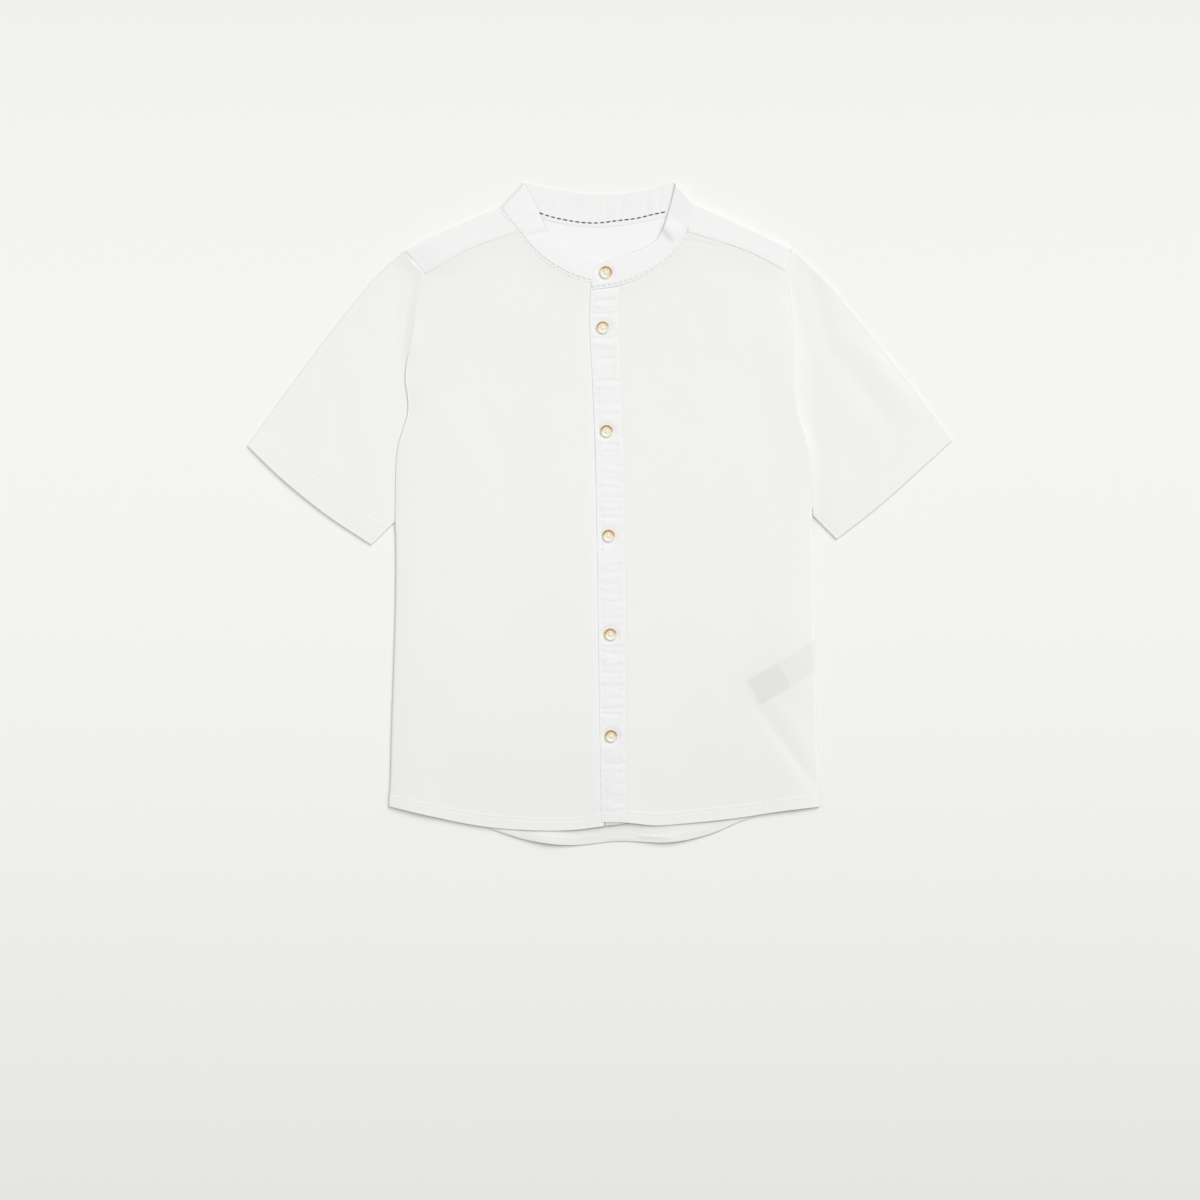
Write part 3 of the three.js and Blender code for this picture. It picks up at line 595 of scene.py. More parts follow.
front = {
    "length": 475,
    "width": 178,
    "hemDepth": 10,
    "hemRadius": 0.34,
    "hemStitch": 8.6,
    "hemRise": 0.15,
    "hemLayers": 0.6,
    "hemRipples": [(0.06, 4.5, 6, 2.0)],
    "stitchDip": (0.10, 0.5),  # depth and half width
    "ripples": [(0.34, 74, 96, 1.5), (0.10, 30, 38, 4.2)],
    "underPlacket": {"right": 0.4, "left": 0.2},
    "neckShare": 0.42,
    "ditch": {"neck": 0.06, "right": 0.02, "left": 0.03},  # how far the cloth dips into its seams
    "underSeam": (1.2, 2.6),
    # painted shade below the neck and yoke seams
    "seamShade": 0.024,
    "sideRests": (2.0, 0.6, 1.75),  # height of the side's edge on the hem, on the table and on the sleeve
    "sideProp": (0.5, 40, 80),  # the right side is propped up above the sleeve: rise, and where it begins
    "sideRoll": (2.2, 6.0),  # how far in it begins to turn down, low on the body and beside the armhole
    "allowance": {"right": (12, 106, 118), "left": (8, 104, 116)},  # width, and where it begins
    "allowanceLayers": 0.75,
    # where the cloth needs threads closer together: up the hem, below the top seam, and at both edges
    "overHem": [0.6, 1.2, 2, 3, 4, 5, 6, 7, 7.8, 8.2, 8.6, 9, 9.4, 10, 10.6, 11.4, 12.4],
    "belowTop": [5, 3.6, 2.6, 1.8, 1.2, 0.7, 0.3, 0],
    "centreEdge": {
        "right": [0, 1, 2, 3, 4.5, 6, 8],
        "left": [0, 1.2, 2.4, 3.6, 4.3, 4.8, 5.2, 5.7, 6.3, 7.1, 8.2, 9.6],
    },
    "sideEdge": [4.4, 3.4, 2.6, 2.0, 1.4, 0.9, 0.5, 0.2, 0],
}

rightFolds = [
    (-165, 118, -120, 60, 9, 0.12),
    (-168, 96, -128, 20, 12, -0.16),
    (-160, 200, -149, 128, 5, -0.10),
    (-60, 226, -84, 178, 7, -0.10),
    (-38, 208, -44, 150, 8, 0.08),
]
leftFolds = [
    (131, -160, 198, -252, 6, -0.6),
    (140, -152, 195, -215, 5, 0.2),
    (72, 240.4, 110, 233.4, 1.1, -0.34),
    (86, 234.5, 110, 229, 1.8, 0.05),
    (168, 96, 130, 24, 12, -0.14),
    (60, 218, 96, 150, 9, -0.10),
    (34, -258, 60, -236, 6, -0.12),
    (104, -250, 128, -262, 5, -0.10),
]

label = {
    "root": Vector((188.4, -126.5)),
    "end": Vector((134.6, -158.4)),
    "width": 25,
    "foldAt": 30,
    "grey": (0.055, 0.105),  # through the cloth over its near half, and over its doubled far half
    "mottle": [(0.018, 2.4, 5.0, 3.0)],
    "ripples": [(0.05, 9, 6, 21.0)],
    "foldLight": 0.03,
    "halo": 0.03,  # painted shade beside it and over its far half
    "levels": (0.75, 0.97, 1.19),  # of its lower half, of the middle of its fold and of its upper half
    "foldRadius": 0.22,
    "wall": 0.16,
}


def labelRun():
    run = label["end"] - label["root"]
    length = run.length
    run.normalize()
    return run, length


def labelShade(x, y):
    # how much darker the label under the cloth makes it
    run, length = labelRun()
    away = Vector((x, y)) - label["root"]
    along = away.dot(run)
    across = abs(away.x * run.y - away.y * run.x)
    inside = ease(length + 1.5 - along, 0, 3.6) * ease(label["width"] / 2 + 1 - across, 0, 2.8)
    farHalf = ease(along, label["foldAt"] - 2, label["foldAt"] + 2)
    mottle = rippled(along, across, label["mottle"])
    fold = label["foldLight"] * hump(along - label["foldAt"], 1.2)
    # painted shade round the label's far half
    around = label["halo"] * math.exp(-((along - 46) / 26) ** 2 - (across / 24) ** 2)
    return mix(around, mix(*label["grey"], farHalf) + mottle - fold, inside)


def allowanceBand(x, y):
    # where the seam allowance behind the armhole seam makes the front whiter
    widest = 0.0
    for side, inset in (("right", x - rightSide.xAt(y)), ("left", leftSide.xAt(y) - x)):
        width, low, high = front["allowance"][side]
        widest = max(widest, (1 - ease(inset, width - 1, width + 1)) * ease(y, low, high))
    return front["allowanceLayers"] * widest


def sideProfile(onRight, away, y, z):
    # the cloth turns down at its side, onto the table, the hem or the sleeve
    onHem, onTable, onSleeve = front["sideRests"]
    restsAt = mix(mix(onHem, onTable, ease(y, -252, -236)), onSleeve, ease(y, -22, -9))
    reach = front["sideRoll"][0]
    if onRight:
        rise, *climb = front["sideProp"]
        restsAt += rise * ease(y, *climb)
        reach = mix(*front["sideRoll"], ease(y, 84, 104))
    restsAt = mix(restsAt, armholeHeight(onRight, y) - 0.1, joinedToSeam(onRight, y))
    if away >= reach:
        return z
    return restsAt + (z - restsAt) * roundedOff(away / reach)


def frontTop(x, y, lift, folds):
    inset = max(0, min(x - rightSide.xAt(y), leftSide.xAt(y) - x))
    loose = ease(inset, 2, 30)
    broad = rippled(x, y, front["ripples"])
    return airUnder(x, y) + lift(x) + lay["wall"] + loose * broad + soften(x, y, folds)


class Front:
    def __init__(self, name, onRight, hem, yokeSeam, neck, centreX, side, lift, folds):
        self.name, self.onRight, self.side, self.lift, self.folds = name, onRight, side, lift, folds
        self.turned = turnedEdge(front["hemRadius"], front["hemDepth"])
        length, width = front["length"], front["width"]
        self.rows = [(inset, drop, 0) for inset, drop in self.turned]
        self.rows += [(inset, 0, 0) for inset in front["overHem"] + shares(226, 14, length - 7)]
        self.rows += [(length - rest, 0, 0) for rest in front["belowTop"]]
        self.rows += [(length, 0, beyond) for beyond in front["underSeam"]]
        start = front["centreEdge"][sideName(onRight)]
        middle = shares(86, start[-1] + 2, width - 6.2)
        us = [d / width for d in start + middle] + [1 - d / width for d in front["sideEdge"]]
        vs = [min(1, inset / length) for inset, drop, beyond in self.rows]
        atCentre = neck.shareAtX(centreX(neck.points[-1].y))
        atYoke = neck.shareAtX(yokeSeam.points[-1].x)
        share = front["neckShare"]

        def topEdge(part):
            if part <= share:
                return neck.at(mix(atCentre, atYoke, part / share))
            return yokeSeam.at(1 - (part - share) / (1 - share))

        def outward(part):
            ahead, behind = topEdge(min(1, part + 0.006)), topEdge(max(0, part - 0.006))
            run = (ahead - behind).normalized()
            away = Vector((-run.y, run.x))
            return away if away.y > 0 else -away

        centre = upEdge(centreX, hem.points[0].y, topEdge(0).y)
        outer = upEdge(side.xAt, hem.points[-1].y, yokeSeam.points[0].y)
        self.panel = Panel(hem.at, topEdge, centre, outer, us, vs)
        self.outward = [outward(u) for u in us]

    def place(self, column, row):
        inset, drop, beyond = self.rows[row]
        spot = self.panel.at(column, row)
        x, y = spot
        z = frontTop(x, y, self.lift, self.folds)
        onHem = 1 - ease(inset, 9.6, 11.2)
        z += front["hemRise"] * onHem
        if inset < 14:
            dip, half = front["stitchDip"]
            z -= dip * hump(inset - front["hemStitch"], half)
            z += rippled(x, inset, front["hemRipples"]) * ease(inset, 1, 4)
        if self.onRight:
            z -= front["underPlacket"]["right"] * ease(x - placketRight.xAt(y), -0.2, 0.8)
        else:
            z -= front["underPlacket"]["left"] * (1 - ease(x - placketLeft.xAt(y), -0.2, 1.6))
        away = abs(x - self.side.xAt(y))
        if away < 8 and y < self.side.points[-1].y:
            z = sideProfile(self.onRight, away, y, z)
        if beyond:
            spot = spot + self.outward[column] * beyond
            x, y = spot
        u = self.panel.us[column]
        if inset > front["length"] - 6:
            depth = front["ditch"]["neck" if u < front["neckShare"] else sideName(self.onRight)]
            z -= depth * (1 - ease(front["length"] - inset, 0, 3.0)) + (0.3 if beyond else 0)
        z -= drop
        layers = max(front["hemLayers"] * onHem, allowanceBand(x, y))
        if self.onRight:
            layers = max(layers, ease(x - placketRight.xAt(y), -7, -5.6))
        # painted shade below the neck and yoke seams
        grey = front["seamShade"] * (1 - ease(front["length"] - inset, 4, 26))
        if not self.onRight and -195 < y < -100 and x > 110:
            grey += labelShade(x, y)
        return x, y, z, layers, grey

    def cut(self, column, row):
        inset, drop, beyond = self.rows[row]
        under = drop > front["hemRadius"] and inset < 20
        length = -inset if under else inset + beyond
        return self.panel.us[column] * front["width"] * mm, length * mm

    def make(self, finish, node):
        bm = layOut(len(self.panel.us) - 1, len(self.rows) - 1, self.place, self.cut)
        return makePiece(self.name, bm, finish, (node,), wall=lay["cloth"])

    def hemRun(self):
        onTop = range(len(self.turned), len(self.rows))
        row = min(onTop, key=lambda number: abs(self.rows[number][0] - front["hemStitch"]))
        return [Vector(self.place(column, row)[:3]) for column in range(1, len(self.panel.us) - 3)]


# back

back = {
    "low": -257.5,
    "high": 167.7,
    "hemDepth": 6,
    "hemRadius": 0.09,
    "hemStitch": 5.2,
    "hemLayers": 0.35,
    "hemPucker": (0.05, 5, 4, 7.0),
    # the back is painted darker towards its hem
    "greyNearHem": 0.036,
    "width": 378,
    "lift": 0.05,
    "overHem": [0.5, 1, 1.7, 2.5, 3.3, 4.1, 4.7, 5.2, 5.7, 6.2, 7, 8, 9.2, 10.6, 12, 14, 16, 19, 23],
    # middle, height and half width of each wave of the hem
    "waves": [(-44, 1.1, 26), (62, 1.2, 30), (-62, 0.8, 40), (84, 0.9, 38), (-36, 0.6, 40), (50, 0.6, 30)],
    "waveDepth": (2, 13, 46),
    "folds": [
        (30, -284.2, 66, -285.6, 1.1, 0.5),
        (-4, -286.5, 34, -286.0, 1.0, 0.25),
        (-30, -283.5, 12, -281.5, 1.6, 0.16),
        (62, -280.5, 98, -279.5, 2.0, 0.14),
        (-90, -279.5, -60, -283.5, 1.6, 0.12),
    ],
}


def hemWave(x, y):
    near, underFront, far = back["waveDepth"]
    above = y - backHem.yAt(x)
    fade = 1 - 0.5 * ease(above, near, underFront) - 0.5 * ease(above, underFront, far)
    rise = 0.0
    for middle, height, half in back["waves"]:
        rise += height * math.cos(min(1, abs(x - middle) / half) * math.pi / 2) ** 2
    return fade * rise


def makeBack(finish):
    low, high = back["low"], back["high"]
    length = high - low
    cloth = lay["cloth"]
    turned = turnedEdge(back["hemRadius"], back["hemDepth"], 4)
    # the inside of the back shows, so its hem turns up onto this face
    rows = [(inset + cloth, rise) for inset, rise in turned]
    rows += [(inset + cloth, 0) for inset in back["overHem"] + shares(96, 27, length - cloth)]
    us, vs = shares(150), [inset / length for inset, rise in rows]
    right, left = (upEdge(side.xAt, low, high) for side in (rightSide, leftSide))
    panel = Panel(backHem.at, levelEdge(high), right, left, us, vs)

    def place(column, row):
        x, y = panel.at(column, row)
        inset, rise = rows[row]
        z = back["lift"] + cloth + hemWave(x, y) + rise
        if row < len(turned):
            pucker, *size = back["hemPucker"]
            z += soften(x, y, back["folds"]) + pucker * (1 + ripple(x, inset, *size))
        layers = back["hemLayers"] if inset < 7 else 0.0
        # painted darker towards the hem
        return x, y, z, layers, back["greyNearHem"] * (1 - ease(inset, 40, 70))

    def cut(column, row):
        inset = rows[row][0]
        return us[column] * back["width"] * mm, (-inset if row < len(turned) else inset) * mm

    bm = layOut(len(us) - 1, len(rows) - 1, place, cut)
    stitchRow = min(range(len(turned)), key=lambda number: abs(turned[number][0] - back["hemStitch"]))
    run = [Vector(place(column, stitchRow)[:3]) for column in range(24, 132)]
    for spot in run:
        spot.z += cloth
    return makePiece("backPanel", bm, finish, ("back",), wall=cloth), run


# placket and button stand

placket = {
    "strip": 1.12,
    "radius": 0.33,
    "creaseDepth": 2.2,
    "under": 12,
    "stitchIn": 5.0,
    "stitchDip": (0.05, 0.5),
    "pucker": (0.26, 2.8),  # beside its stitches: amount and half width
    "puckerSize": (6.0, 2.7, 9.0),
    "ripples": [(0.16, 22, 4.2, 5.5), (0.10, 9, 12, 6.5)],
    "topDip": 0.3,
    "low": -272,
    "high": 197.8,
    "length": 470,
    "end": (0.9, 0.55),  # how far up its end is pinched thin, and how thin
    "overEdge": [0.7, 1.4, 2.2, 3, 3.8, 4.3, 4.7, 5.0, 5.3, 5.7, 6.3, 7.1, 8, 9, 10.1],
    # insets and drops round its left edge, as far as the cloth folded under
    "leftEdge": [
        (0.10, 0.04), (0.02, 0.12), (0.0, 0.2), (0.02, 0.28), (0.10, 0.36), (0.35, 0.42), (1.2, 0.45),
        (3, 0.45), (5, 0.45), (7, 0.45),
    ],
    # height up the shirt, start and end across (0 right edge, 1 left edge), depth, half width, slant
    "creases": [
        (186, 0.3, 0.9, -0.16, 1.6, 5), (181, 0.1, 0.7, 0.10, 1.4, -6), (174.6, 0.0, 0.95, -0.17, 0.9, 1),
        (153.6, 0.0, 1.0, -0.22, 1.0, 0.5), (148, 0.1, 0.8, 0.10, 1.6, 0), (135.6, 0.2, 1.0, -0.15, 1.1, 0),
        (129, 0.0, 0.7, 0.07, 1.5, 1), (116.2, 0.0, 1.0, -0.19, 1.2, 0), (110, 0.2, 0.9, 0.08, 1.8, 0),
        (96.7, 0.1, 0.9, -0.08, 1.2, -1), (86, 0.35, 1.0, -0.12, 1.0, 0), (60, 0.1, 0.9, -0.07, 1.0, 0),
        (54, 0.0, 0.8, -0.09, 0.9, 1), (47, 0.2, 1.0, -0.08, 1.0, 0), (38, 0.1, 0.9, 0.06, 1.5, -2),
        (30, 0.2, 0.9, -0.10, 1.3, 3), (27, 0.5, 1.0, -0.12, 0.8, 0), (22.8, 0.0, 0.75, -0.17, 1.0, 0),
        (13.4, 0.5, 1.0, -0.13, 1.0, 0), (5, 0.1, 0.8, 0.07, 1.6, 0), (-4.2, 0.0, 1.0, -0.15, 1.0, 0),
        (-28, 0.1, 1.0, -0.13, 0.9, 0), (-31, 0.3, 1.0, -0.10, 0.8, 0), (-44, 0.0, 1.0, 0.07, 1.6, 0),
        (-52, 0.1, 0.9, -0.09, 1.1, 0), (-63, 0.0, 0.7, -0.07, 1.2, 2), (-78, 0.3, 1.0, -0.10, 1.0, 0),
        (-92, 0.2, 1.0, -0.06, 1.3, 0), (-118, 0.2, 1.0, -0.13, 1.0, 0), (-124, 0.1, 0.9, -0.10, 1.4, -4),
        (-132, 0.2, 1.0, 0.09, 1.4, 4), (-141, 0.0, 1.0, -0.08, 1.2, 0), (-152, 0.1, 0.9, -0.10, 1.2, 0),
        (-163, 0.4, 1.0, -0.11, 1.0, 0), (-172, 0.0, 0.9, -0.14, 1.3, 2), (-177, 0.0, 0.7, -0.12, 1.0, -2),
        (-205, 0.4, 1.0, -0.09, 1.0, 0), (-221, 0.1, 1.0, -0.16, 1.0, 0), (-229, 0.6, 1.0, -0.10, 0.8, 0),
        (-238, 0.6, 1.0, -0.11, 0.9, 0), (-246, 0.5, 1.0, 0.10, 0.9, 0), (-256, 0.5, 1.0, -0.12, 0.9, 0),
        (-262, 0.1, 0.9, -0.08, 1.0, 0),
    ],
}


def buttonDimple(x, y, onBand):
    # the cloth is drawn down where a button is sewn on
    deepest = 0.0
    for name, (middleX, middleY, turn, strength) in button["places"].items():
        if (name == "button_band") == onBand and abs(y - middleY) < 12:
            away = math.hypot(x - middleX, y - middleY)
            deepest = max(deepest, button["dimple"] * (1 - ease(away, *button["dimpleReach"])))
    return deepest


def placketRelief(x, y, fromRight, fromLeft):
    width = fromRight + fromLeft
    across = fromRight / width
    total = 0.0
    for height, start, stop, depth, half, slant in placket["creases"]:
        offset = y - height - slant * (across - 0.5)
        if abs(offset) < 3 * half:
            ends = ease(across, start - 0.12, start + 0.12) * (1 - ease(across, stop - 0.12, stop + 0.12))
            total += placket["creaseDepth"] * depth * ends * hump(offset, half)
    (dip, dipHalf), (pucker, puckerHalf) = placket["stitchDip"], placket["pucker"]
    for edge in (fromRight, fromLeft):
        fromStitch = edge - placket["stitchIn"]
        total -= dip * hump(fromStitch, dipHalf)
        total += pucker * hump(fromStitch, puckerHalf) * ripple(edge, y, *placket["puckerSize"])
    total += rippled(x, y, placket["ripples"])
    return total * ease(fromRight, 0, 1.6) * ease(fromLeft, 0, 1.0)


def placketLevel(x, y):
    return airUnder(x, y) + overlapLift(x) + placket["strip"]


def makePlacket(finish):
    radius, length, low = placket["radius"], placket["length"], placket["low"]
    near = placket["overEdge"]
    columns = [("right", inset, drop) for inset, drop in turnedEdge(radius, placket["under"])]
    columns += [("right", inset, 0) for inset in near] + [("half", 0, 0)]
    columns += [("left", inset, 0) for inset in reversed([0.35] + near)]
    columns += [("left", inset, drop) for inset, drop in placket["leftEdge"]]
    rows = [run / length for run in [0, 0.12, 0.35, 0.7, 1.2, 1.9] + shares(388, 3, length - 4)]
    rows += [1 - rest / length for rest in (3, 2, 1.3, 0.7, 0.3, 0)]
    beyond = [0] * len(rows) + [1.0, 2.2]
    rows += [1.0, 1.0]

    def place(column, row):
        kind, inset, drop = columns[column]
        share = rows[row]
        y = mix(low, placket["high"], share)
        right, left = placketRight.xAt(y), placketLeft.xAt(y)
        x = {"right": right + inset, "left": left - inset, "half": (right + left) / 2}[kind]
        high = leftNeck.yAt(x)
        y = mix(low, high, share)
        z = placketLevel(x, y)
        z += placketRelief(x, y, x - right, left - x) if drop < 0.1 else 0
        z -= buttonDimple(x, y, False)
        reach, thin = placket["end"]
        if y - low < reach:
            middle = 0.35 if kind == "left" else radius
            drop = middle + (drop - middle) * mix(thin, 1, roundedOff((y - low) / reach))
        rest = high - y
        z -= drop + placket["topDip"] * (1 - ease(rest, 0, 3.2))
        return x, y + beyond[row], z - 0.06 * (beyond[row] > 0), 1.0, 0.0

    def cut(column, row):
        kind, inset, drop = columns[column]
        run = {"right": inset if drop < radius else -inset, "left": 24 - inset, "half": 12}[kind]
        return run * mm, rows[row] * length * mm

    bm = layOut(len(columns) - 1, len(rows) - 1, place, cut)
    piece = makePiece("placketStrip", bm, finish, ("placket",), wall=lay["cloth"])
    runs = [], []
    for y in shares(300, -270, 196):
        right, left = placketRight.xAt(y), placketLeft.xAt(y)
        for run, x in zip(runs, (right + placket["stitchIn"], left - placket["stitchIn"])):
            run.append(Vector((x, y, placketLevel(x, y) + placketRelief(x, y, x - right, left - x))))
    return piece, runs


stand = {
    "length": 470,
    "middle": (-274.5, 200),
    "inset": (3.6, 1),  # from the placket's right and left edges
    "low": (-275.6, -273.4),  # its end below the placket's, at its right and at its left
    "under": 0.4,
    "endDrop": 0.5,
    # painted shadow under the placket's end, where the stand shows
    "endShadow": 0.14,
    "wall": 0.8,
}


def makeStand(finish):
    # the layer that carries the buttons: it shows only below the placket's end
    columns, rows = 22, shares(240)

    def place(column, row):
        middle = mix(*stand["middle"], rows[row])
        right, left = stand["inset"]
        x = mix(placketRight.xAt(middle) + right, placketLeft.xAt(middle) - left, column / columns)
        low = mix(*stand["low"], (x - 2) / 21)
        y = mix(low, rightNeck.yAt(x) - 0.6, rows[row])
        z = airUnder(x, y) + lay["wall"] - stand["under"] - buttonDimple(x, y, False)
        z -= stand["endDrop"] * (1 - ease(y - low, 0, 0.9))
        z -= stand["endDrop"] * (1 - ease(rightNeck.yAt(x) - y, 0, 3))
        # painted shadow on the end that shows below the placket
        return x, y, z, 1.0, stand["endShadow"] * (1 - ease(y - low, 3, 6))

    def cut(column, row):
        return column * mm, rows[row] * stand["length"] * mm

    bm = layOut(columns, len(rows) - 1, place, cut)
    return makePiece("buttonStand", bm, finish, ("button_stand",), wall=stand["wall"])


# yoke

yoke = {
    "length": 90,
    "top": 22,  # from the seam to the fold
    "seamRadius": 0.15,
    "seamStitch": 1.6,
    "stitchDip": (0.06, 0.5),
    "seamRise": 0.2,
    "ripples": [(0.10, 22, 16, 8.0)],
    "endReach": 1.6,
    "endDrop": 0.35,
    "turned": 0.9,
    "backSeam": 168,
    "foldInset": 5.5,
    "table": 0.04,  # its underside above the table
    "insideSize": (330, 90),
    "insideLevel": 0.95,
    "insideRipples": [(0.12, 46, 30, 11.0)],
    "propped": 0.6,  # by the neck seam's allowances
    "insideWall": 0.7,
    "insideTint": -0.02,
}


def shoulderFlap(seam, fold):
    # from the front seam over the shoulder fold and back underneath
    across = shares(74, -0.02, 1.0)
    turned = turnedEdge(yoke["seamRadius"], yoke["turned"], 4)
    onTop = [0.5, 1.0, 1.6, 2.3, 3.2, 4.4]
    rows = [("seam", inset, drop) for inset, drop in turned] + [("seam", inset, 0) for inset in onTop]
    rows += [("top", share, 0) for share in shares(14)]
    rows += [("fold", turn, 0) for turn in shares(10)[1:]]
    rows += [("under", step, 0) for step in (3, 6, 9, 12)]

    def crossing(share):
        # seam, direction and length of the way up to the fold, and the height of the face at the seam
        onSeam, onFold = seam.at(1 - share), fold.at(share)
        face = frontTop(onSeam.x, onSeam.y, noLift, [])
        return onSeam, (onFold - onSeam).normalized(), (onFold - onSeam).length, face

    def place(column, row):
        share = across[column]
        onSeam, towards, wide, face = crossing(share)
        radius = face / 2 - 0.1
        reach = wide - radius
        kind, value, drop = rows[row]
        if kind in ("seam", "top"):
            run = value if kind == "seam" else mix(5.4, reach, value)
            x, y = onSeam + towards * run
            level = face + rippled(x, y, yoke["ripples"])
            z = mix(level, 2 * radius, ease(run, 3, reach))
            z += yoke["seamRise"] * (1 - ease(run, 1.5, 13)) - drop
            dip, half = yoke["stitchDip"]
            z -= dip * hump(run - yoke["seamStitch"], half)
            fromEnd = (1 - share) * seam.length
            if fromEnd < yoke["endReach"]:
                z -= yoke["endDrop"] * (1 - roundedOff(fromEnd / yoke["endReach"]))
        elif kind == "fold":
            angle = math.pi * (0.5 - value)
            x, y = onSeam + towards * (reach + radius * math.cos(angle))
            z = radius + radius * math.sin(angle)
        else:
            x, y = onSeam + towards * (reach - value)
            z = 0
        return x, y, z + yoke["table"], 1.0, 0.0

    def cut(column, row):
        kind, value, drop = rows[row]
        top = yoke["top"]
        run = {
            "seam": -value if drop > 0.4 else value,
            "top": mix(5.4, top, value),
            "fold": top + 5 * value,
            "under": top + 6 + value,
        }[kind]
        return across[column] * yoke["length"] * mm, run * mm

    bm = layOut(len(across) - 1, len(rows) - 1, place, cut)
    run = []
    for share in shares(60, 0.02, 0.985):
        onSeam, towards, wide, face = crossing(share)
        run.append(Vector((*(onSeam + towards * yoke["seamStitch"]), face + yoke["seamRise"] - 0.02)))
    return bm, run


def yokeInside():
    low = yoke["backSeam"]

    def underFold(line, share):
        spot = line.at(share)
        return Vector((spot.x, spot.y - yoke["foldInset"]))

    def topEdge(u):
        if u < 0.26:
            return underFold(rightShoulder, mix(0.94, 0.02, u / 0.26))
        if u > 0.74:
            return underFold(leftShoulder, mix(0.02, 0.94, (u - 0.74) / 0.26))
        return backNeck.at(mix(0.06, 0.94, (u - 0.26) / 0.48))

    def sideEdge(side, inward, corner, v):
        # up the armhole, just inside its seam
        y = mix(low, corner.y, v)
        x = side.xAt(y) + inward * ease(v, 0, 0.1)
        return Vector((mix(x, corner.x, ease(v, 0.85, 1)), y))

    us, vs = shares(96), shares(44)
    panel = Panel(
        levelEdge(low),
        topEdge,
        lambda v: sideEdge(rightSide, 1, topEdge(0), v),
        lambda v: sideEdge(leftSide, -1, topEdge(1), v),
        us,
        vs,
    )

    def place(column, row):
        x, y = panel.at(column, row)
        rise = rippled(x, y, yoke["insideRipples"])
        propped = yoke["propped"] * (1 - ease(y, 232, 252)) * ease(y, 170, 200)
        return x, y, yoke["insideLevel"] + rise + propped, 1.0, yoke["insideTint"]

    def cut(column, row):
        wide, tall = yoke["insideSize"]
        return us[column] * wide * mm, vs[row] * tall * mm

    return layOut(len(us) - 1, len(vs) - 1, place, cut)


def makeYoke(finish):
    def make(name, bm, wall):
        return makePiece(name, bm, finish, ("yoke",), wall=wall)

    rightFlap, rightRun = shoulderFlap(rightYokeSeam, rightShoulder)
    leftFlap, leftRun = shoulderFlap(leftYokeSeam, leftShoulder)
    flaps = [make("yokeRight", rightFlap, lay["cloth"]), make("yokeLeft", leftFlap, lay["cloth"])]
    return flaps, make("yokeBack", yokeInside(), yoke["insideWall"]), [rightRun, leftRun]


# collar band

band = {
    "thick": 0.9,
    "fall": (1.1, 1.7),  # how much lower its free edge lies than its seam, in front and at the left shoulder
    "full": 1.3,
    "setback": 4,
    "corner": (7, 0.8),  # radius, and how much of it the end loses in height
    "clear": 0.12,  # how far its own face stays inside the space it takes
    "seamStitch": 1.7,
    "stitchPitch": 5.0,
    "drawnIn": (0.12, 0.6),  # depth all along the seam's stitches, and at each of them
    # painted shade in the hollows the seam's stitches draw in
    "stitchHollowShade": 0.13,
    "ripples": [(0.07, 9, 9, 12.0)],
    "threadStep": (2.1, 1.2),
    "acrossFace": [0.6, 1.2, 1.7, 2.2, 2.9, 3.8, 5, 6.5, 8.2, 10, 12, 14, 16, 18, 20, 22],
    "rightFolds": [
        (-71, 243, -42, 256, 5.0, 0.3), (-66, 242, -42, 249.5, 2.4, -0.75), (-66, 262, -50, 268, 3.2, 0.25),
        (-82, 254, -70, 264, 2.2, -0.22), (-76, 262, -68, 280, 2.2, 0.16), (-30, 212, -26, 228, 3, 0.1),
    ],
    "leftFolds": [
        (51, 256, 57, 243, 2.0, -0.22), (53, 252, 62, 255, 1.8, 0.25),
        (60, 234, 72, 243, 2.4, -0.2), (20, 216, 44, 222, 2.5, -0.2),
        (62, 246, 74, 252, 2.2, 0.3), (22, 222, 34, 217, 1.8, 0.22),
        (70, 262, 80, 270, 2.6, -0.16),
    ],
    "step": (65.5, 238.5, 52, 250, 3.2, 1.6, 17),  # where the band climbs onto the shoulder's layers
    "backFolds": [
        (-58, 268, -55, 288, 1.7, -0.32), (-52, 264, -49, 286, 1.5, 0.2), (-40, 262, -38, 283, 1.8, 0.2),
        (-30, 259, -29, 281, 1.4, -0.16), (-22, 258, -21, 280, 1.4, -0.26), (-12, 256, -13, 279, 1.3, 0.22),
        (-3, 257, -3, 279, 1.2, -0.16), (4, 256, 6, 279, 1.6, -0.22), (12, 256, 14, 279, 1.3, 0.2),
        (18, 258, 21, 280, 1.3, -0.28), (26, 258, 28, 281, 1.2, 0.22), (33, 260, 35, 281, 1.3, -0.2),
        (40, 261, 42, 283, 1.5, -0.26), (46, 262, 49, 285, 1.3, 0.2), (50, 264, 54, 288, 1.4, -0.34),
    ],
}


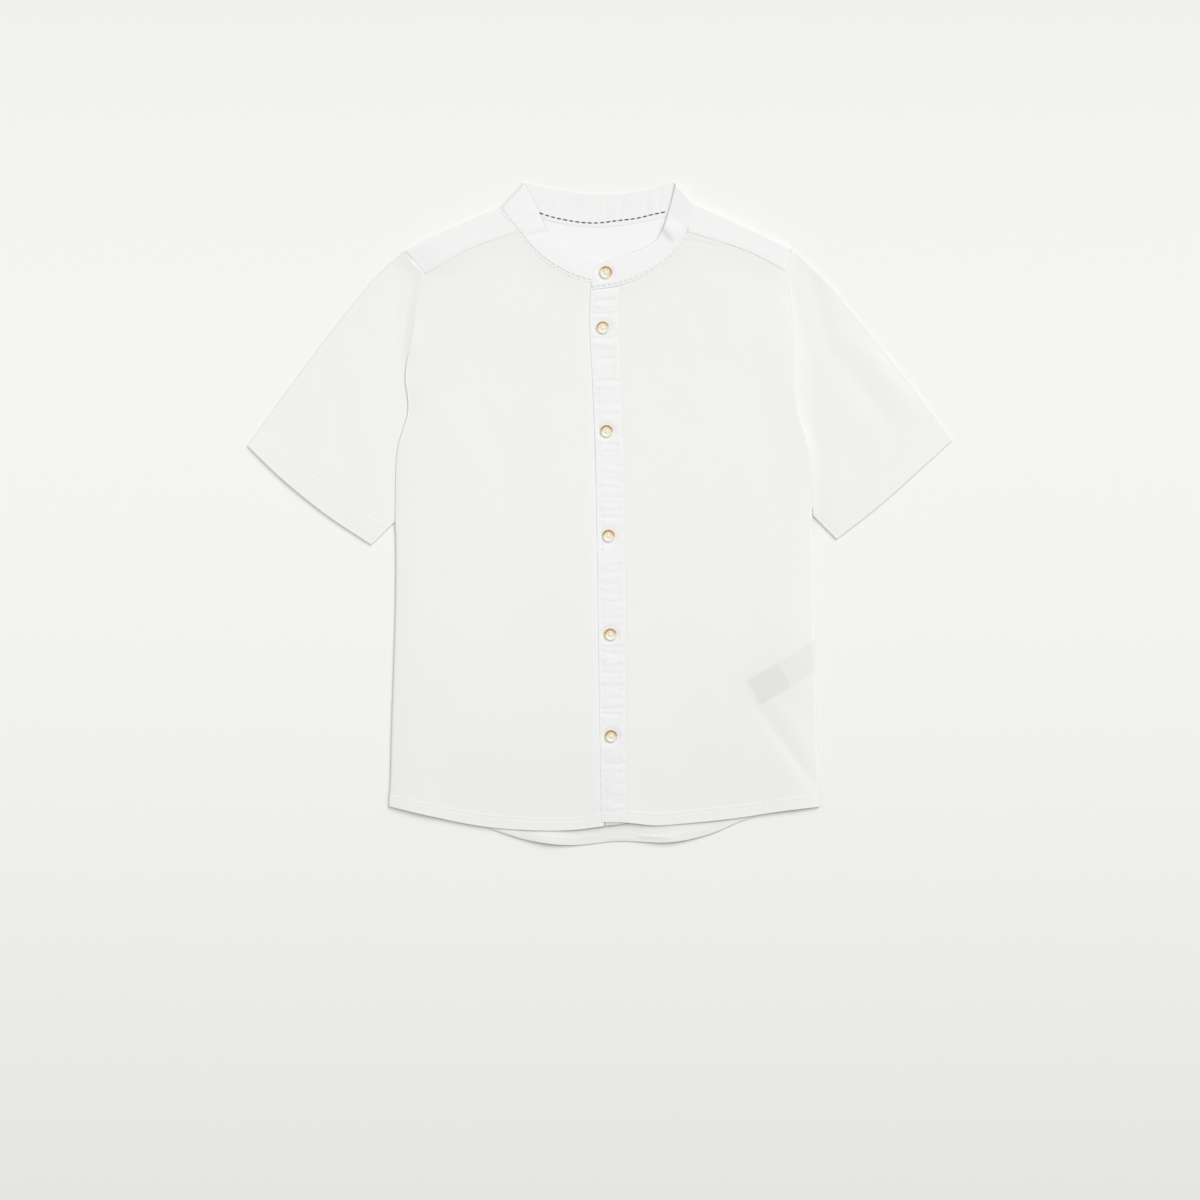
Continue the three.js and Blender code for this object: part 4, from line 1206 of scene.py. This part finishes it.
def bandSections():
    # one for each cut across the band: over the fronts, round the shoulders and over the back
    def overFront(seam, top, lift, folds):
        first = band["setback"] / seam.length
        made = []
        for share in shares(210, first, 1.0):
            foot, head = seam.at(share), top.at(share)
            made.append({
                "foot": foot, "head": head, "angle": math.pi / 2, "outward": Vector((0, 0)),
                "under": airUnder(foot.x, foot.y) + lift(foot.x), "folds": folds, "face": 1,
                "fall": mix(*band["fall"], ease(foot.x, 46, 72)), "along": share * seam.length,
            })
        return made

    def overBack():
        first = band["setback"] / backNeck.length
        made = []
        for share in shares(80, first, 1 - first):
            made.append({
                "foot": backNeck.at(share), "head": backBandTop.at(share), "angle": -math.pi / 2,
                "outward": Vector((0, 0)), "under": None, "folds": band["backFolds"], "face": -1,
            })
        return made

    def turn(start, stop):
        side = math.copysign(1, start["foot"].x)
        across = (start["head"] - start["foot"]).normalized()
        outward = Vector((across.y, -across.x)) * side
        made = []
        for share in shares(12)[1:-1]:
            made.append({
                "foot": start["foot"].lerp(stop["foot"], share),
                "head": start["head"].lerp(stop["head"], share),
                "angle": math.pi * (0.5 - share), "outward": outward, "under": start["under"], "folds": [],
                "fall": start["fall"], "face": 1,
            })
        return made

    left = overFront(leftNeck, leftBandTop, bandLift, band["leftFolds"])
    right = overFront(rightNeck, rightBandTop, noLift, band["rightFolds"])
    rear = overBack()
    return left[::-1] + turn(left[0], rear[-1]) + rear[::-1] + turn(right[0], rear[0])[::-1] + right


def bandHeight(section):
    return (section["head"] - section["foot"]).length


def drawnIn(section, run):
    # the seam to the body is drawn in at every stitch
    wave = math.sqrt(0.5 + 0.5 * math.cos(2 * math.pi * section["along"] / band["stitchPitch"]))
    return wave * hump(run - band["seamStitch"], 0.9)


def bandPoint(section, share, depth):
    tall, angle = bandHeight(section), section["angle"]
    under = band["full"] if section["under"] is None else section["under"] - section["fall"] * share ** 1.5
    radius = (under + band["full"]) / 2
    size = radius - depth
    spot = section["foot"].lerp(section["head"], share) + section["outward"] * (size * math.cos(angle))
    z = radius + size * math.sin(angle)
    if section["face"] > 0:
        z -= buttonDimple(spot.x, spot.y, True)
    if section["folds"]:
        if (section["face"] > 0 and depth < 0.7) or (section["face"] < 0 and depth > 0.7):
            relief = soften(spot.x, spot.y, section["folds"]) + rippled(spot.x, spot.y, band["ripples"])
            z += ease(share * tall, 2.5, 7) * relief
            if section["face"] > 0:
                allAlong, atStitch = band["drawnIn"]
                z += stepUp(spot.x, spot.y, band["step"])
                z -= allAlong * hump(share * tall - band["seamStitch"], 0.9)
                z -= atStitch * drawnIn(section, share * tall)
    return spot.x, spot.y, z


def makeBand(finish):
    sections = bandSections()
    half = band["thick"] / 2
    around = [("foot", turn) for turn in shares(6)]
    around += [("face", run) for run in band["acrossFace"]] + [("rim", turn) for turn in shares(8)]
    around += [("inside", run) for run in reversed(band["acrossFace"])]

    def place(column, row):
        section = sections[row]
        height = tall = bandHeight(section)
        fromEnd = min(
            (section["foot"] - sections[0]["foot"]).length if row < 100 else 99,
            (section["foot"] - sections[-1]["foot"]).length if row > len(sections) - 100 else 99,
        )
        corner, lost = band["corner"]
        if fromEnd < corner:
            height -= corner * (1 - roundedOff(fromEnd / corner)) * lost
        kind, value = around[column % len(around)]
        thin = half * mix(0.35, 1, ease(fromEnd, 0, 1.2))
        if kind == "foot":
            angle = math.pi * value
            run, depth = half - thin * math.sin(angle), half + thin * math.cos(angle)
        elif kind == "rim":
            angle = math.pi * value
            run, depth = height - half + thin * math.sin(angle), half - thin * math.cos(angle)
        else:
            run = mix(half, height - half, value / 23)
            depth = half - thin if kind == "face" else half + thin
        x, y, z = bandPoint(section, run / tall, depth + band["clear"])
        # painted shade in the hollows where the seam's stitches draw in the band's outer face
        outside = section["folds"] and section["face"] > 0 and kind != "inside"
        return x, y, z, 1.0, band["stitchHollowShade"] * drawnIn(section, run) if outside else 0.0

    def cut(column, row):
        alongStep, acrossStep = band["threadStep"]
        return row * alongStep * mm, column * acrossStep * mm

    bm = layOut(len(around), len(sections) - 1, place, cut, faceUp=False)
    bmesh.ops.remove_doubles(bm, verts=bm.verts, dist=0.00002)
    bmesh.ops.holes_fill(bm, edges=[edge for edge in bm.edges if edge.is_boundary], sides=0)
    bmesh.ops.recalc_face_normals(bm, faces=bm.faces)
    piece = makePiece("collarBand", bm, finish, ("collar_band",))

    def stitchRun(first, last):
        return [
            Vector(bandPoint(section, band["seamStitch"] / bandHeight(section), band["clear"]))
            for section in sections[first:last]
        ]

    onFronts = [number for number, section in enumerate(sections) if "along" in section]
    gap = next(n for n in range(len(onFronts) - 1) if onFronts[n + 1] - onFronts[n] > 1)
    return piece, [stitchRun(1, onFronts[gap]), stitchRun(onFronts[gap + 1], len(sections) - 1)]


# sleeves

sleeve = {
    "hemDepth": 20,
    "hemRadius": 0.34,
    "hemStitch": 18.6,
    "hemRise": 0.15,
    "hemLayers": 0.4,
    "hemRipple": (0.07, 5, 7, 14.0),
    "stitchDip": (0.09, 0.5),
    "ripple": (0.14, 34, 44, 3.3),
    "threadStep": 2.4,
    "tuck": [9, 1.2, 0.2, 0],  # how far the first rows run in under the body
    "tuckHeight": 0.95,
    "ridgeReach": {"right": (11, 7), "left": (12, 24, 9)},  # up the armhole
    "shoulderRise": 0.65,
    "besideTuck": (-0.25, 14),  # how much lower the right sleeve lies beside the body, and how far out
    "clear": 0.3,
    "table": 0.04,  # its underside above the table
    "edgeHeight": (1.35, 1.3),
    "shoulderHeight": 2.6,  # of the folded edge where it meets the right end of the yoke
    "besideEdge": [0.4, 1, 1.8, 2.8, 4, 5.4, 7],
    "atCuff": 0.45,  # share of the air left at the cuff
    "air": 0.8,
    "airReach": 40,
}


def seamRidge(onRight, y, fromSeam, plain):
    # how far the sleeve beside its seam lies above its plain height
    top = armholeHeight(onRight, y) - 0.12 - plain
    if onRight:
        top += sleeve["shoulderRise"] * ease(y, 203, 216)
        reach = mix(*sleeve["ridgeReach"]["right"], ease(y, 206, 214))
        dip, far = sleeve["besideTuck"]
        tucked = dip * (1 - ease(fromSeam, 0, far))
        return mix(tucked, top * (1 - ease(fromSeam, -0.35 * reach, reach)), joinedToSeam(onRight, y))
    low, middle, high = sleeve["ridgeReach"]["left"]
    reach = mix(mix(low, middle, ease(y, 0, 60)), high, ease(y, 140, 204))
    return joinedToSeam(onRight, y) * top * max(0, 1 - fromSeam / reach) ** 2


rightSleeveFolds = [
    (-179, 226, -179, 132, 4.5, -0.16), (-186, 200, -184, 120, 5, 0.12),
    (-198, 190, -196, 110, 10, 0.2), (-206, 150, -252, 60, 16, 0.3), (-226, 120, -232, 40, 10, -0.42),
    (-214, 44, -196, 2, 8, -0.2),
]
leftSleeveFolds = [
    (182, 222, 206, 128, 8, -0.7), (204, 146, 264, 66, 10, -0.6), (212, 168, 284, 80, 12, 0.65),
    (262, 68, 246, 46, 4, -0.16), (206, 60, 232, 30, 9, -0.2),
]


class Sleeve:
    def __init__(self, name, side, shoulderY, underarmY, upperMarks, cuffMarks, outward, folds):
        self.name, self.side, self.outward, self.folds = name, side, outward, folds
        self.onRight, self.shoulderY, self.underarmY = outward < 0, shoulderY, underarmY
        self.cuff = Line(cuffMarks)
        self.upper = Line([self.armhole(0), *upperMarks, cuffMarks[0]])
        self.under = Line([self.armhole(1), cuffMarks[-1]])
        self.corners = self.armhole(0), self.armhole(1), self.cuff.at(0), self.cuff.at(1)
        near = sleeve["besideEdge"]
        self.around = [("upper", d) for d in near] + [("span", part) for part in shares(84)[1:-1]]
        self.around += [("upper", -d) for d in reversed(near)] + [("under", turn) for turn in shares(8)]
        self.around += [("lower", -d) for d in near] + [("lowerSpan", 1 - part) for part in shares(50)[1:-1]]
        self.around += [("lower", d) for d in reversed(near)] + [("over", turn) for turn in shares(8)]
        hemFace = [23, 22, 21, 20.4, 19.8, 19.4, 19, 18.6, 18.2, 17.8, 17.2, 16.4]
        hemFace += shares(9, 15, 3.4) + [2.4, 1.6, 1.0, 0.6]
        self.rows = [("tuck", slide, 0) for slide in sleeve["tuck"]]
        self.rows += [("edge", step, 0) for step in (0.35, 0.8, 1.4, 2.2, 3.2, 4.4)]
        self.rows += [("body", part, 0) for part in shares(88)[1:]] + [("hem", inset, 0) for inset in hemFace]
        turned = turnedEdge(sleeve["hemRadius"], sleeve["hemDepth"])
        self.rows += [("hem", inset, drop) for inset, drop in reversed(turned)]

    def armhole(self, along):
        y = mix(self.shoulderY, self.underarmY, along)
        return Vector((self.side.xAt(y) + self.outward * sleeve["clear"], y))

    def plan(self, along, up):
        across = self.armhole(along) * (1 - up) + self.cuff.at(along) * up
        upward = self.upper.at(up) * (1 - along) + self.under.at(up) * along
        return across + upward - betweenCorners(self.corners, along, up)

    def upAt(self, along, row):
        kind, value, drop = self.rows[row]
        reach = (self.cuff.at(along) - self.armhole(along)).length
        body = 1 - 24 / reach
        first = min(0.3 * body, 4.8 / reach)
        if kind == "tuck":
            return 0
        if kind == "edge":
            return min(value / reach, first * value / 4.8)
        if kind == "body":
            return mix(first, body, value)
        return 1 - value / reach

    def place(self, column, row):
        kind, value = self.around[column % len(self.around)]
        rowKind, inset, drop = self.rows[row]
        table = sleeve["table"]
        cuffWard = self.upAt(0.5, row)
        width = (self.plan(1, self.upAt(1, row)) - self.plan(0, self.upAt(0, row))).length
        across = value
        if kind not in ("span", "lowerSpan"):
            across = float(kind == "under" or value < 0 and kind != "over")
        tall = mix(*sleeve["edgeHeight"], ease(cuffWard, 0, 1))
        if self.onRight:
            atShoulder = (1 - ease(cuffWard, 0, 0.09)) * (1 - ease(across, 0.02, 0.25))
            tall = mix(tall, sleeve["shoulderHeight"], atShoulder)
        tall -= 2 * drop
        radius, small = (tall + 2 * drop) / 2, tall / 2
        turn = None
        if kind in ("upper", "lower"):
            offset = radius + value if value > 0 else width - radius + value
        elif kind in ("span", "lowerSpan"):
            offset = mix(radius + 7, width - radius - 7, value)
        elif kind == "under":
            turn = math.pi * (0.5 - value)
            offset = width - radius + small * math.cos(turn)
        else:
            turn = math.pi * (value - 0.5)
            offset = radius - small * math.cos(turn)
        along = min(1, max(0, offset / width))
        up = self.upAt(along, row)
        x, y = self.plan(along, up)
        layers = sleeve["hemLayers"] if rowKind == "hem" and inset < 19.8 else 0.0
        if turn is not None:
            return x, y, radius + small * math.sin(turn) + table, layers, 0.0
        if kind in ("lower", "lowerSpan"):
            return x, y, table + drop, layers, 0.0

        fromEdge = max(0, min(offset, width - offset) - radius)
        fromSeam = up * (self.cuff.at(along) - self.armhole(along)).length
        fromCuff = inset if rowKind == "hem" else 30
        atArmhole = ease(up, 0.02, 0.45)
        inner = ease(fromEdge, 0, 8)
        rise = sleeve["air"] * domed(fromEdge, sleeve["airReach"]) * atArmhole
        rise *= mix(1, sleeve["atCuff"], ease(up, 0.7, 1))
        amount, *size = sleeve["ripple"]
        rise += inner * soften(x, y, self.folds) + inner * atArmhole * amount * ripple(x, y, *size)
        z = 2 * radius + table + rise - drop
        z += seamRidge(self.onRight, y, fromSeam, 2 * radius + table) * ease(fromEdge, 0, 4)
        slot = mix(0.4, 0.05, ease(y, 204, 214)) if self.onRight else 0.4
        tuckedAt = armholeHeight(self.onRight, y) - slot
        tuckedAt = mix(sleeve["tuckHeight"], tuckedAt, joinedToSeam(self.onRight, y))
        z = mix(tuckedAt, z, max(ease(fromSeam, -0.1, 0.7), 1 - ease(fromEdge, 0, 4)))
        z += sleeve["hemRise"] * (1 - ease(fromCuff, 19.2, 21)) * inner
        if fromCuff < 26 and drop == 0:
            dip, half = sleeve["stitchDip"]
            amount, *size = sleeve["hemRipple"]
            z -= dip * hump(fromCuff - sleeve["hemStitch"], half)
            z += inner * amount * ripple(offset, fromCuff, *size) * (1 - ease(fromCuff, 20, 26))
        if rowKind == "tuck":
            x -= self.outward * inset * ease(along, 0.02, 0.14) * ease(1 - along, 0.02, 0.14)
        return x, y, z, layers, 0.0

    def cut(self, column, row):
        rowKind, inset, drop = self.rows[row]
        length = {
            "tuck": -190 - inset,
            "edge": -190 + inset,
            "body": mix(-185, -24, inset),
            "hem": -inset,
        }[rowKind]
        return column * sleeve["threadStep"] * mm, (-length if drop > 0.5 else length) * mm

    def make(self, finish, node):
        bm = layOut(len(self.around), len(self.rows) - 1, self.place, self.cut, faceUp=False)
        bmesh.ops.remove_doubles(bm, verts=bm.verts, dist=0.00001)
        bmesh.ops.recalc_face_normals(bm, faces=bm.faces)
        upper = [face for face in bm.faces if face.calc_center_median().z > 0.0012]
        if sum(face.normal.z * face.calc_area() for face in upper) < 0:
            bmesh.ops.reverse_faces(bm, faces=bm.faces)
        return makePiece(self.name, bm, finish, (node,), wall=lay["cloth"])

    def hemRun(self):
        row = self.rows.index(("hem", sleeve["hemStitch"], 0))
        count = self.around.index(("under", 0.0))
        return [Vector(self.place(column, row)[:3]) for column in range(2, count - 2)]


# care label

def makeLabel(finish):
    # a ribbon let into the side seam, folded back on itself at its far end
    run, length = labelRun()
    side = Vector((-run.y, run.x))
    low, middle, high = label["levels"]
    far, radius = length - 0.6, label["foldRadius"]
    path = [(step, low) for step in shares(30, 0.8, far)]
    for turn in (math.radians(degrees) for degrees in (-60, -20, 20, 60)):
        path.append((far + radius * math.cos(turn), middle + radius * math.sin(turn)))
    path += [(far - step, high) for step in shares(16, 0, length - label["foldAt"])]
    columns = shares(14, -0.5, 0.5)

    def place(column, row):
        along, height = path[row]
        spot = label["root"] + run * along + side * (columns[column] * label["width"])
        if along < 4:
            # its end in the side seam is cut along the seam
            spot += run * ((1 - along / 4) * (label["root"].x - 1.2 - spot.x) / run.x)
        return spot.x, spot.y, height + rippled(along, column, label["ripples"]), 1.0, 0.0

    def cut(column, row):
        return columns[column] * label["width"] * mm, row * 2 * mm

    bm = layOut(len(columns) - 1, len(path) - 1, place, cut, faceUp=False)
    bm.normal_update()
    for face in bm.faces:
        if face.calc_center_median().z > 0.00115 and face.normal.z < 0:
            bmesh.ops.reverse_faces(bm, faces=bm.faces)
            break
    return makePiece("careLabel", bm, finish, ("care_label",), wall=label["wall"])


def satinRibbon(name):
    finish = Finish(name)
    threads = finish.threads("X", finish.cut(), 900.0, 1.0)
    finish.set(
        Base_Color=finish.mixColour(threads, (0.76, 0.76, 0.75, 1), (0.82, 0.82, 0.81, 1)),
        Roughness=finish.span(threads, 0.2, 0.8, 0.42, 0.52),
        Sheen_Weight=0.1,
        Anisotropic=0.3,
        Normal=finish.bump(0.2, 0.00005, threads),
    )
    return finish.material


# stitches

def stitchPlaces(run, pitch):
    # middle and heading of every stitch along a row
    runs = [0.0]
    for p, q in zip(run, run[1:]):
        runs.append(runs[-1] + (q - p).length)
    count = int(runs[-1] / pitch)
    made = []
    for number in range(count):
        middle = (number + 0.5) * runs[-1] / count
        stop = min(max(bisect_left(runs, middle), 1), len(runs) - 1)
        p, q = run[stop - 1], run[stop]
        share = (middle - runs[stop - 1]) / (runs[stop] - runs[stop - 1])
        made.append((p.lerp(q, share), (q - p).normalized()))
    return made


def layThread(bm, middle, heading, size, around, rings):
    # one rounded grain of thread, with its halves along, across and up in metres
    facing = heading.to_track_quat("X", "Z").to_matrix().to_4x4()
    place = Matrix.Translation(middle * mm) @ facing @ Matrix.Diagonal((*size, 1))
    lying = Matrix.Rotation(math.pi / 2, 4, "Y")
    bmesh.ops.create_uvsphere(bm, u_segments=around, v_segments=rings, radius=1, matrix=place @ lying)


def makeStitches(name, runs, finish, pitch=2.5, length=1.7, width=0.42, height=0.3, sunk=0.02):
    bm = bmesh.new()
    count = 0
    for run in runs:
        for middle, heading in stitchPlaces(run, pitch):
            long = length * random.uniform(0.92, 1.06)
            size = long * mm / 2, width * mm / 2, height * mm / 2
            layThread(bm, Vector((middle.x, middle.y, middle.z - sunk)), heading, size, 8, 6)
            count += 1
    print(name, count, "stitches")
    return makePiece(name, bm, finish, crisp=80)


# buttons

button = {
    "radius": 5.5,
    "holeRadius": 0.62,
    "holeCircle": 1.7,
    "clear": 0.04,
    "dimple": 0.55,  # how far its thread draws a button into the cloth
    "dimpleReach": (5.4, 9.5),
    "seat": 4.2,  # radius of the ring on which it rests
    "threadHeight": 0.94,
    "threadSize": (0.56, 0.56, 0.3),  # halves: share of the way between two holes, width and height
    # across, up, turn of the painted dark side from the top, strength of its painted shade and glow
    "places": {
        "button_band": (5.2, 211.2, -32, 1.0),
        "button_front_1": (2.6, 162.8, 8, 0.85),
        "button_front_2": (5.9, 71.8, 0, 1.0),
        "button_front_3": (7.6, -20.2, -3, 1.0),
        "button_front_4": (9.3, -106.9, 4, 0.95),
        "button_front_5": (9.9, -196.2, 0, 1.0),
    },
    "profile": [
        (0.0, 0.0), (2.6, 0.0), (4.0, 0.04), (4.8, 0.1), (5.3, 0.3), (5.47, 0.56), (5.5, 0.78), (5.4, 0.98),
        (5.18, 1.12), (4.85, 1.22), (4.45, 1.26), (4.1, 1.22), (3.84, 1.12), (3.63, 0.98), (3.35, 0.88),
        (2.8, 0.82), (2.1, 0.8), (1.2, 0.79), (0.0, 0.79),
    ],
}


def rimShadeAndGlow(x, y, turn, strength):
    # painted shade and glow: the rim is painted dark on the side the light comes from, where its inner wall
    # lies in shade, with the resin's amber painted just inside it as a glow; the far side keeps the pale
    # resin colour
    radius = math.hypot(x, y) / button["radius"]
    angle = math.degrees(math.atan2(x, y)) + turn
    angle = abs((angle + 180) % 360 - 180)
    rimShade = strength * hump(radius - 0.85, 0.12) * (1 - ease(angle, 58, 118))
    amberGlow = strength * hump(radius - 0.66, 0.26) * (1 - ease(angle, 80, 155))
    return rimShade, amberGlow


def hornResin(name):
    finish = Finish(name)
    cloud = finish.grain(finish.place(), 420.0, 2.0)
    # the doubled attribute holds the rim's painted shade and the shade attribute its painted amber glow
    rimShade, amberGlow = finish.painted("doubled"), finish.painted("shade")
    pale = finish.mixColour(cloud, (0.76, 0.72, 0.62, 1), (0.83, 0.80, 0.71, 1))
    warm = finish.mixColour(amberGlow, pale, (0.88, 0.63, 0.32, 1))
    finish.set(
        # painted shade: the rim's shaded side is mixed towards dark brown
        Base_Color=finish.mixColour(rimShade, warm, (0.17, 0.065, 0.008, 1)),
        Roughness=finish.span(cloud, 0.3, 0.7, 0.24, 0.34),
        Coat_Weight=0.1,
        Coat_Roughness=0.15,
        IOR=1.45,
        Normal=finish.bump(0.06, 0.0001, cloud),
    )
    return finish.material


def turnedBody():
    bm = bmesh.new()
    marks = [bm.verts.new((radius * mm, 0, height * mm)) for radius, height in button["profile"]]
    edges = [bm.edges.new(pair) for pair in zip(marks, marks[1:])]
    bmesh.ops.spin(
        bm, geom=marks + edges, cent=(0, 0, 0), axis=(0, 0, 1), angle=2 * math.pi, steps=56, use_merge=True,
    )
    bmesh.ops.remove_doubles(bm, verts=bm.verts, dist=0.000004)
    bmesh.ops.recalc_face_normals(bm, faces=bm.faces)
    return bm


def drilled(body, holes):
    drills = bmesh.new()
    radius = button["holeRadius"] * mm
    for hole in holes:
        bmesh.ops.create_cone(
            drills, cap_ends=True, segments=20, radius1=radius, radius2=radius, depth=8 * mm,
            matrix=Matrix.Translation(hole * mm),
        )
    blank, drill = placeMesh("buttonBody", body), placeMesh("drills", drills)
    cutter = blank.modifiers.new("holes", "BOOLEAN")
    cutter.operation = "DIFFERENCE"
    cutter.solver = "EXACT"
    cutter.object = drill
    shaped = bpy.data.meshes.new_from_object(blank.evaluated_get(bpy.context.evaluated_depsgraph_get()))
    for each in (blank, drill):
        bpy.data.objects.remove(each)
    bm = bmesh.new()
    bm.from_mesh(shaped)
    return bm


def clothHeight(x, y, onBand):
    if onBand:
        foot, head = leftNeck.yAt(x), leftBandTop.yAt(x)
        share = min(1, max(0, (y - foot) / (head - foot)))
        return airUnder(x, foot) + bandLift(x) + band["full"] - band["fall"][0] * share ** 1.5 - 0.1
    return placketLevel(x, y)


def makeButtons(finish):
    threads = bmesh.new()
    for name, (x, y, turn, strength) in button["places"].items():
        onBand = name == "button_band"
        rim = [
            clothHeight(x + button["seat"] * math.cos(angle), y + button["seat"] * math.sin(angle), onBand)
            for angle in (math.radians(degrees) for degrees in range(0, 360, 30))
        ]
        base = max(rim) + button["clear"] - button["dimple"]
        holes = []
        for quarter in range(4):
            angle = math.radians(45 + 90 * quarter) + 0.35 * math.sin(x * 3.1 + y)
            holes.append(Vector((math.cos(angle), math.sin(angle), 0)) * button["holeCircle"])
        bm = drilled(turnedBody(), holes)
        # painted shade and glow of the rim, kept in the doubled and shade attributes
        rimShade = bm.verts.layers.float.new("doubled")
        amberGlow = bm.verts.layers.float.new("shade")
        for vert in bm.verts:
            vert[rimShade], vert[amberGlow] = rimShadeAndGlow(vert.co.x / mm, vert.co.y / mm, turn, strength)
        bmesh.ops.translate(bm, verts=bm.verts, vec=(x * mm, y * mm, base * mm))
        title = "button" + "".join(word.capitalize() for word in name.split("_")[1:])
        makePiece(title, bm, finish, (name,), crisp=60)
        long, wide, tall = button["threadSize"]
        for p, q in (holes[0::2], holes[1::2]):
            middle = (p + q) / 2 + Vector((x, y, base + button["threadHeight"]))
            size = (q - p).length * mm * long, wide * mm, tall * mm
            layThread(threads, middle, (q - p).normalized(), size, 10, 8)
    return threads


# assembly

setStudio()
cotton = wovenCotton("cottonSlub")
doubledCotton = wovenCotton("cottonDoubled", doubledAlways=True)
satin = satinRibbon("labelSatin")
resin = hornResin("hornResin")
creamThread = sewingThread("creamThread", (0.80, 0.79, 0.75, 1))
whiteThread = sewingThread("whiteThread", (0.83, 0.83, 0.815, 1))
navyThread = sewingThread("navyThread", (0.012, 0.022, 0.06, 1))
clearThread = sewingThread("buttonThread", (0.96, 0.95, 0.92, 1))

backPanel, backHemRun = makeBack(cotton)
frontRight = Front(
    "frontRight", True, rightHem, rightYokeSeam, rightNeck,
    lambda y: placketRight.xAt(y) + 3, rightSide, noLift, rightFolds,
)
frontLeft = Front(
    "frontLeft", False, leftHem, leftYokeSeam, leftNeck,
    lambda y: placketLeft.xAt(y) - 5, leftSide, overlapLift, leftFolds,
)
rightPanel = frontRight.make(cotton, "front_right")
leftPanel = frontLeft.make(cotton, "front_left")
placketPiece, placketRuns = makePlacket(doubledCotton)
standPiece = makeStand(doubledCotton)
flaps, yokeBack, yokeRuns = makeYoke(doubledCotton)
bandPiece, neckRuns = makeBand(doubledCotton)
rightSleeve = Sleeve(
    "sleeveRight", rightSide, 230.5, -7.9, [(-197, 207.4), (-244, 149.2)],
    [(-310.4, 59), (-282.5, 32.2), (-243.8, 0.4), (-201.2, -28.2)], -1, rightSleeveFolds,
)
leftSleeve = Sleeve(
    "sleeveLeft", leftSide, 232.5, -2.4, [(195.5, 207.4), (261, 129.5)],
    [(310.4, 64.4), (281.4, 38), (246, 6.6), (208.1, -23.4)], 1, leftSleeveFolds,
)
rightSleevePiece = rightSleeve.make(cotton, "sleeve_right")
leftSleevePiece = leftSleeve.make(cotton, "sleeve_left")
labelPiece = makeLabel(satin)
makePiece("buttonThreads", makeButtons(resin), clearThread, crisp=80)
makeStitches("neckStitches", neckRuns, whiteThread, pitch=2.6, width=0.28, sunk=0.3)
makeStitches("placketStitches", placketRuns, whiteThread, pitch=2.4)
makeStitches("hemStitches", [frontRight.hemRun(), frontLeft.hemRun(), backHemRun], creamThread)
makeStitches("cuffStitches", [rightSleeve.hemRun(), leftSleeve.hemRun()], creamThread)
makeStitches("yokeStitches", yokeRuns, whiteThread)

navyRow = Line([
    (-54.2, 264.3), (-42.6, 260.5), (-27.1, 257.2), (-12.9, 255.3), (0, 255.3), (15.5, 257.2),
    (32.3, 259.2), (45.1, 262.3), (58.1, 265),
])
navyRun = [Vector((spot.x, spot.y, 1.3)) for spot in (navyRow.at(share) for share in shares(80))]
makeStitches("navyStitches", [navyRun], navyThread, pitch=5.2, length=4.3, width=1.05, height=0.4, sunk=0)

# what each piece was cut to, in metres: width, length, area, and what it lies on
cuts = [
    (backPanel, 0.379, 0.467, 0.165, []),
    (rightPanel, 0.190, 0.540, 0.0905, [backPanel, rightSleevePiece]),
    (leftPanel, 0.181, 0.535, 0.085, [backPanel, leftSleevePiece, labelPiece]),
    (standPiece, 0.020, 0.476, 0.0095, [rightPanel]),
    (placketPiece, 0.044, 0.472, 0.0205, [standPiece, rightPanel]),
    (yokeBack, 0.334, 0.099, 0.0278, []),
    (flaps[0], 0.094, 0.052, 0.0037, [yokeBack]),
    (flaps[1], 0.094, 0.052, 0.0036, [yokeBack]),
    (bandPiece, 0.460, 0.026, 0.0102, [yokeBack, rightPanel, leftPanel]),
    (rightSleevePiece, 0.380, 0.240, 0.0485, []),
    (leftSleevePiece, 0.380, 0.240, 0.0455, []),
    (labelPiece, 0.025, 0.095, 0.00237, [backPanel]),
]
for piece, width, length, area, under in cuts:
    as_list(under)
print("sheets:", len(cuts))
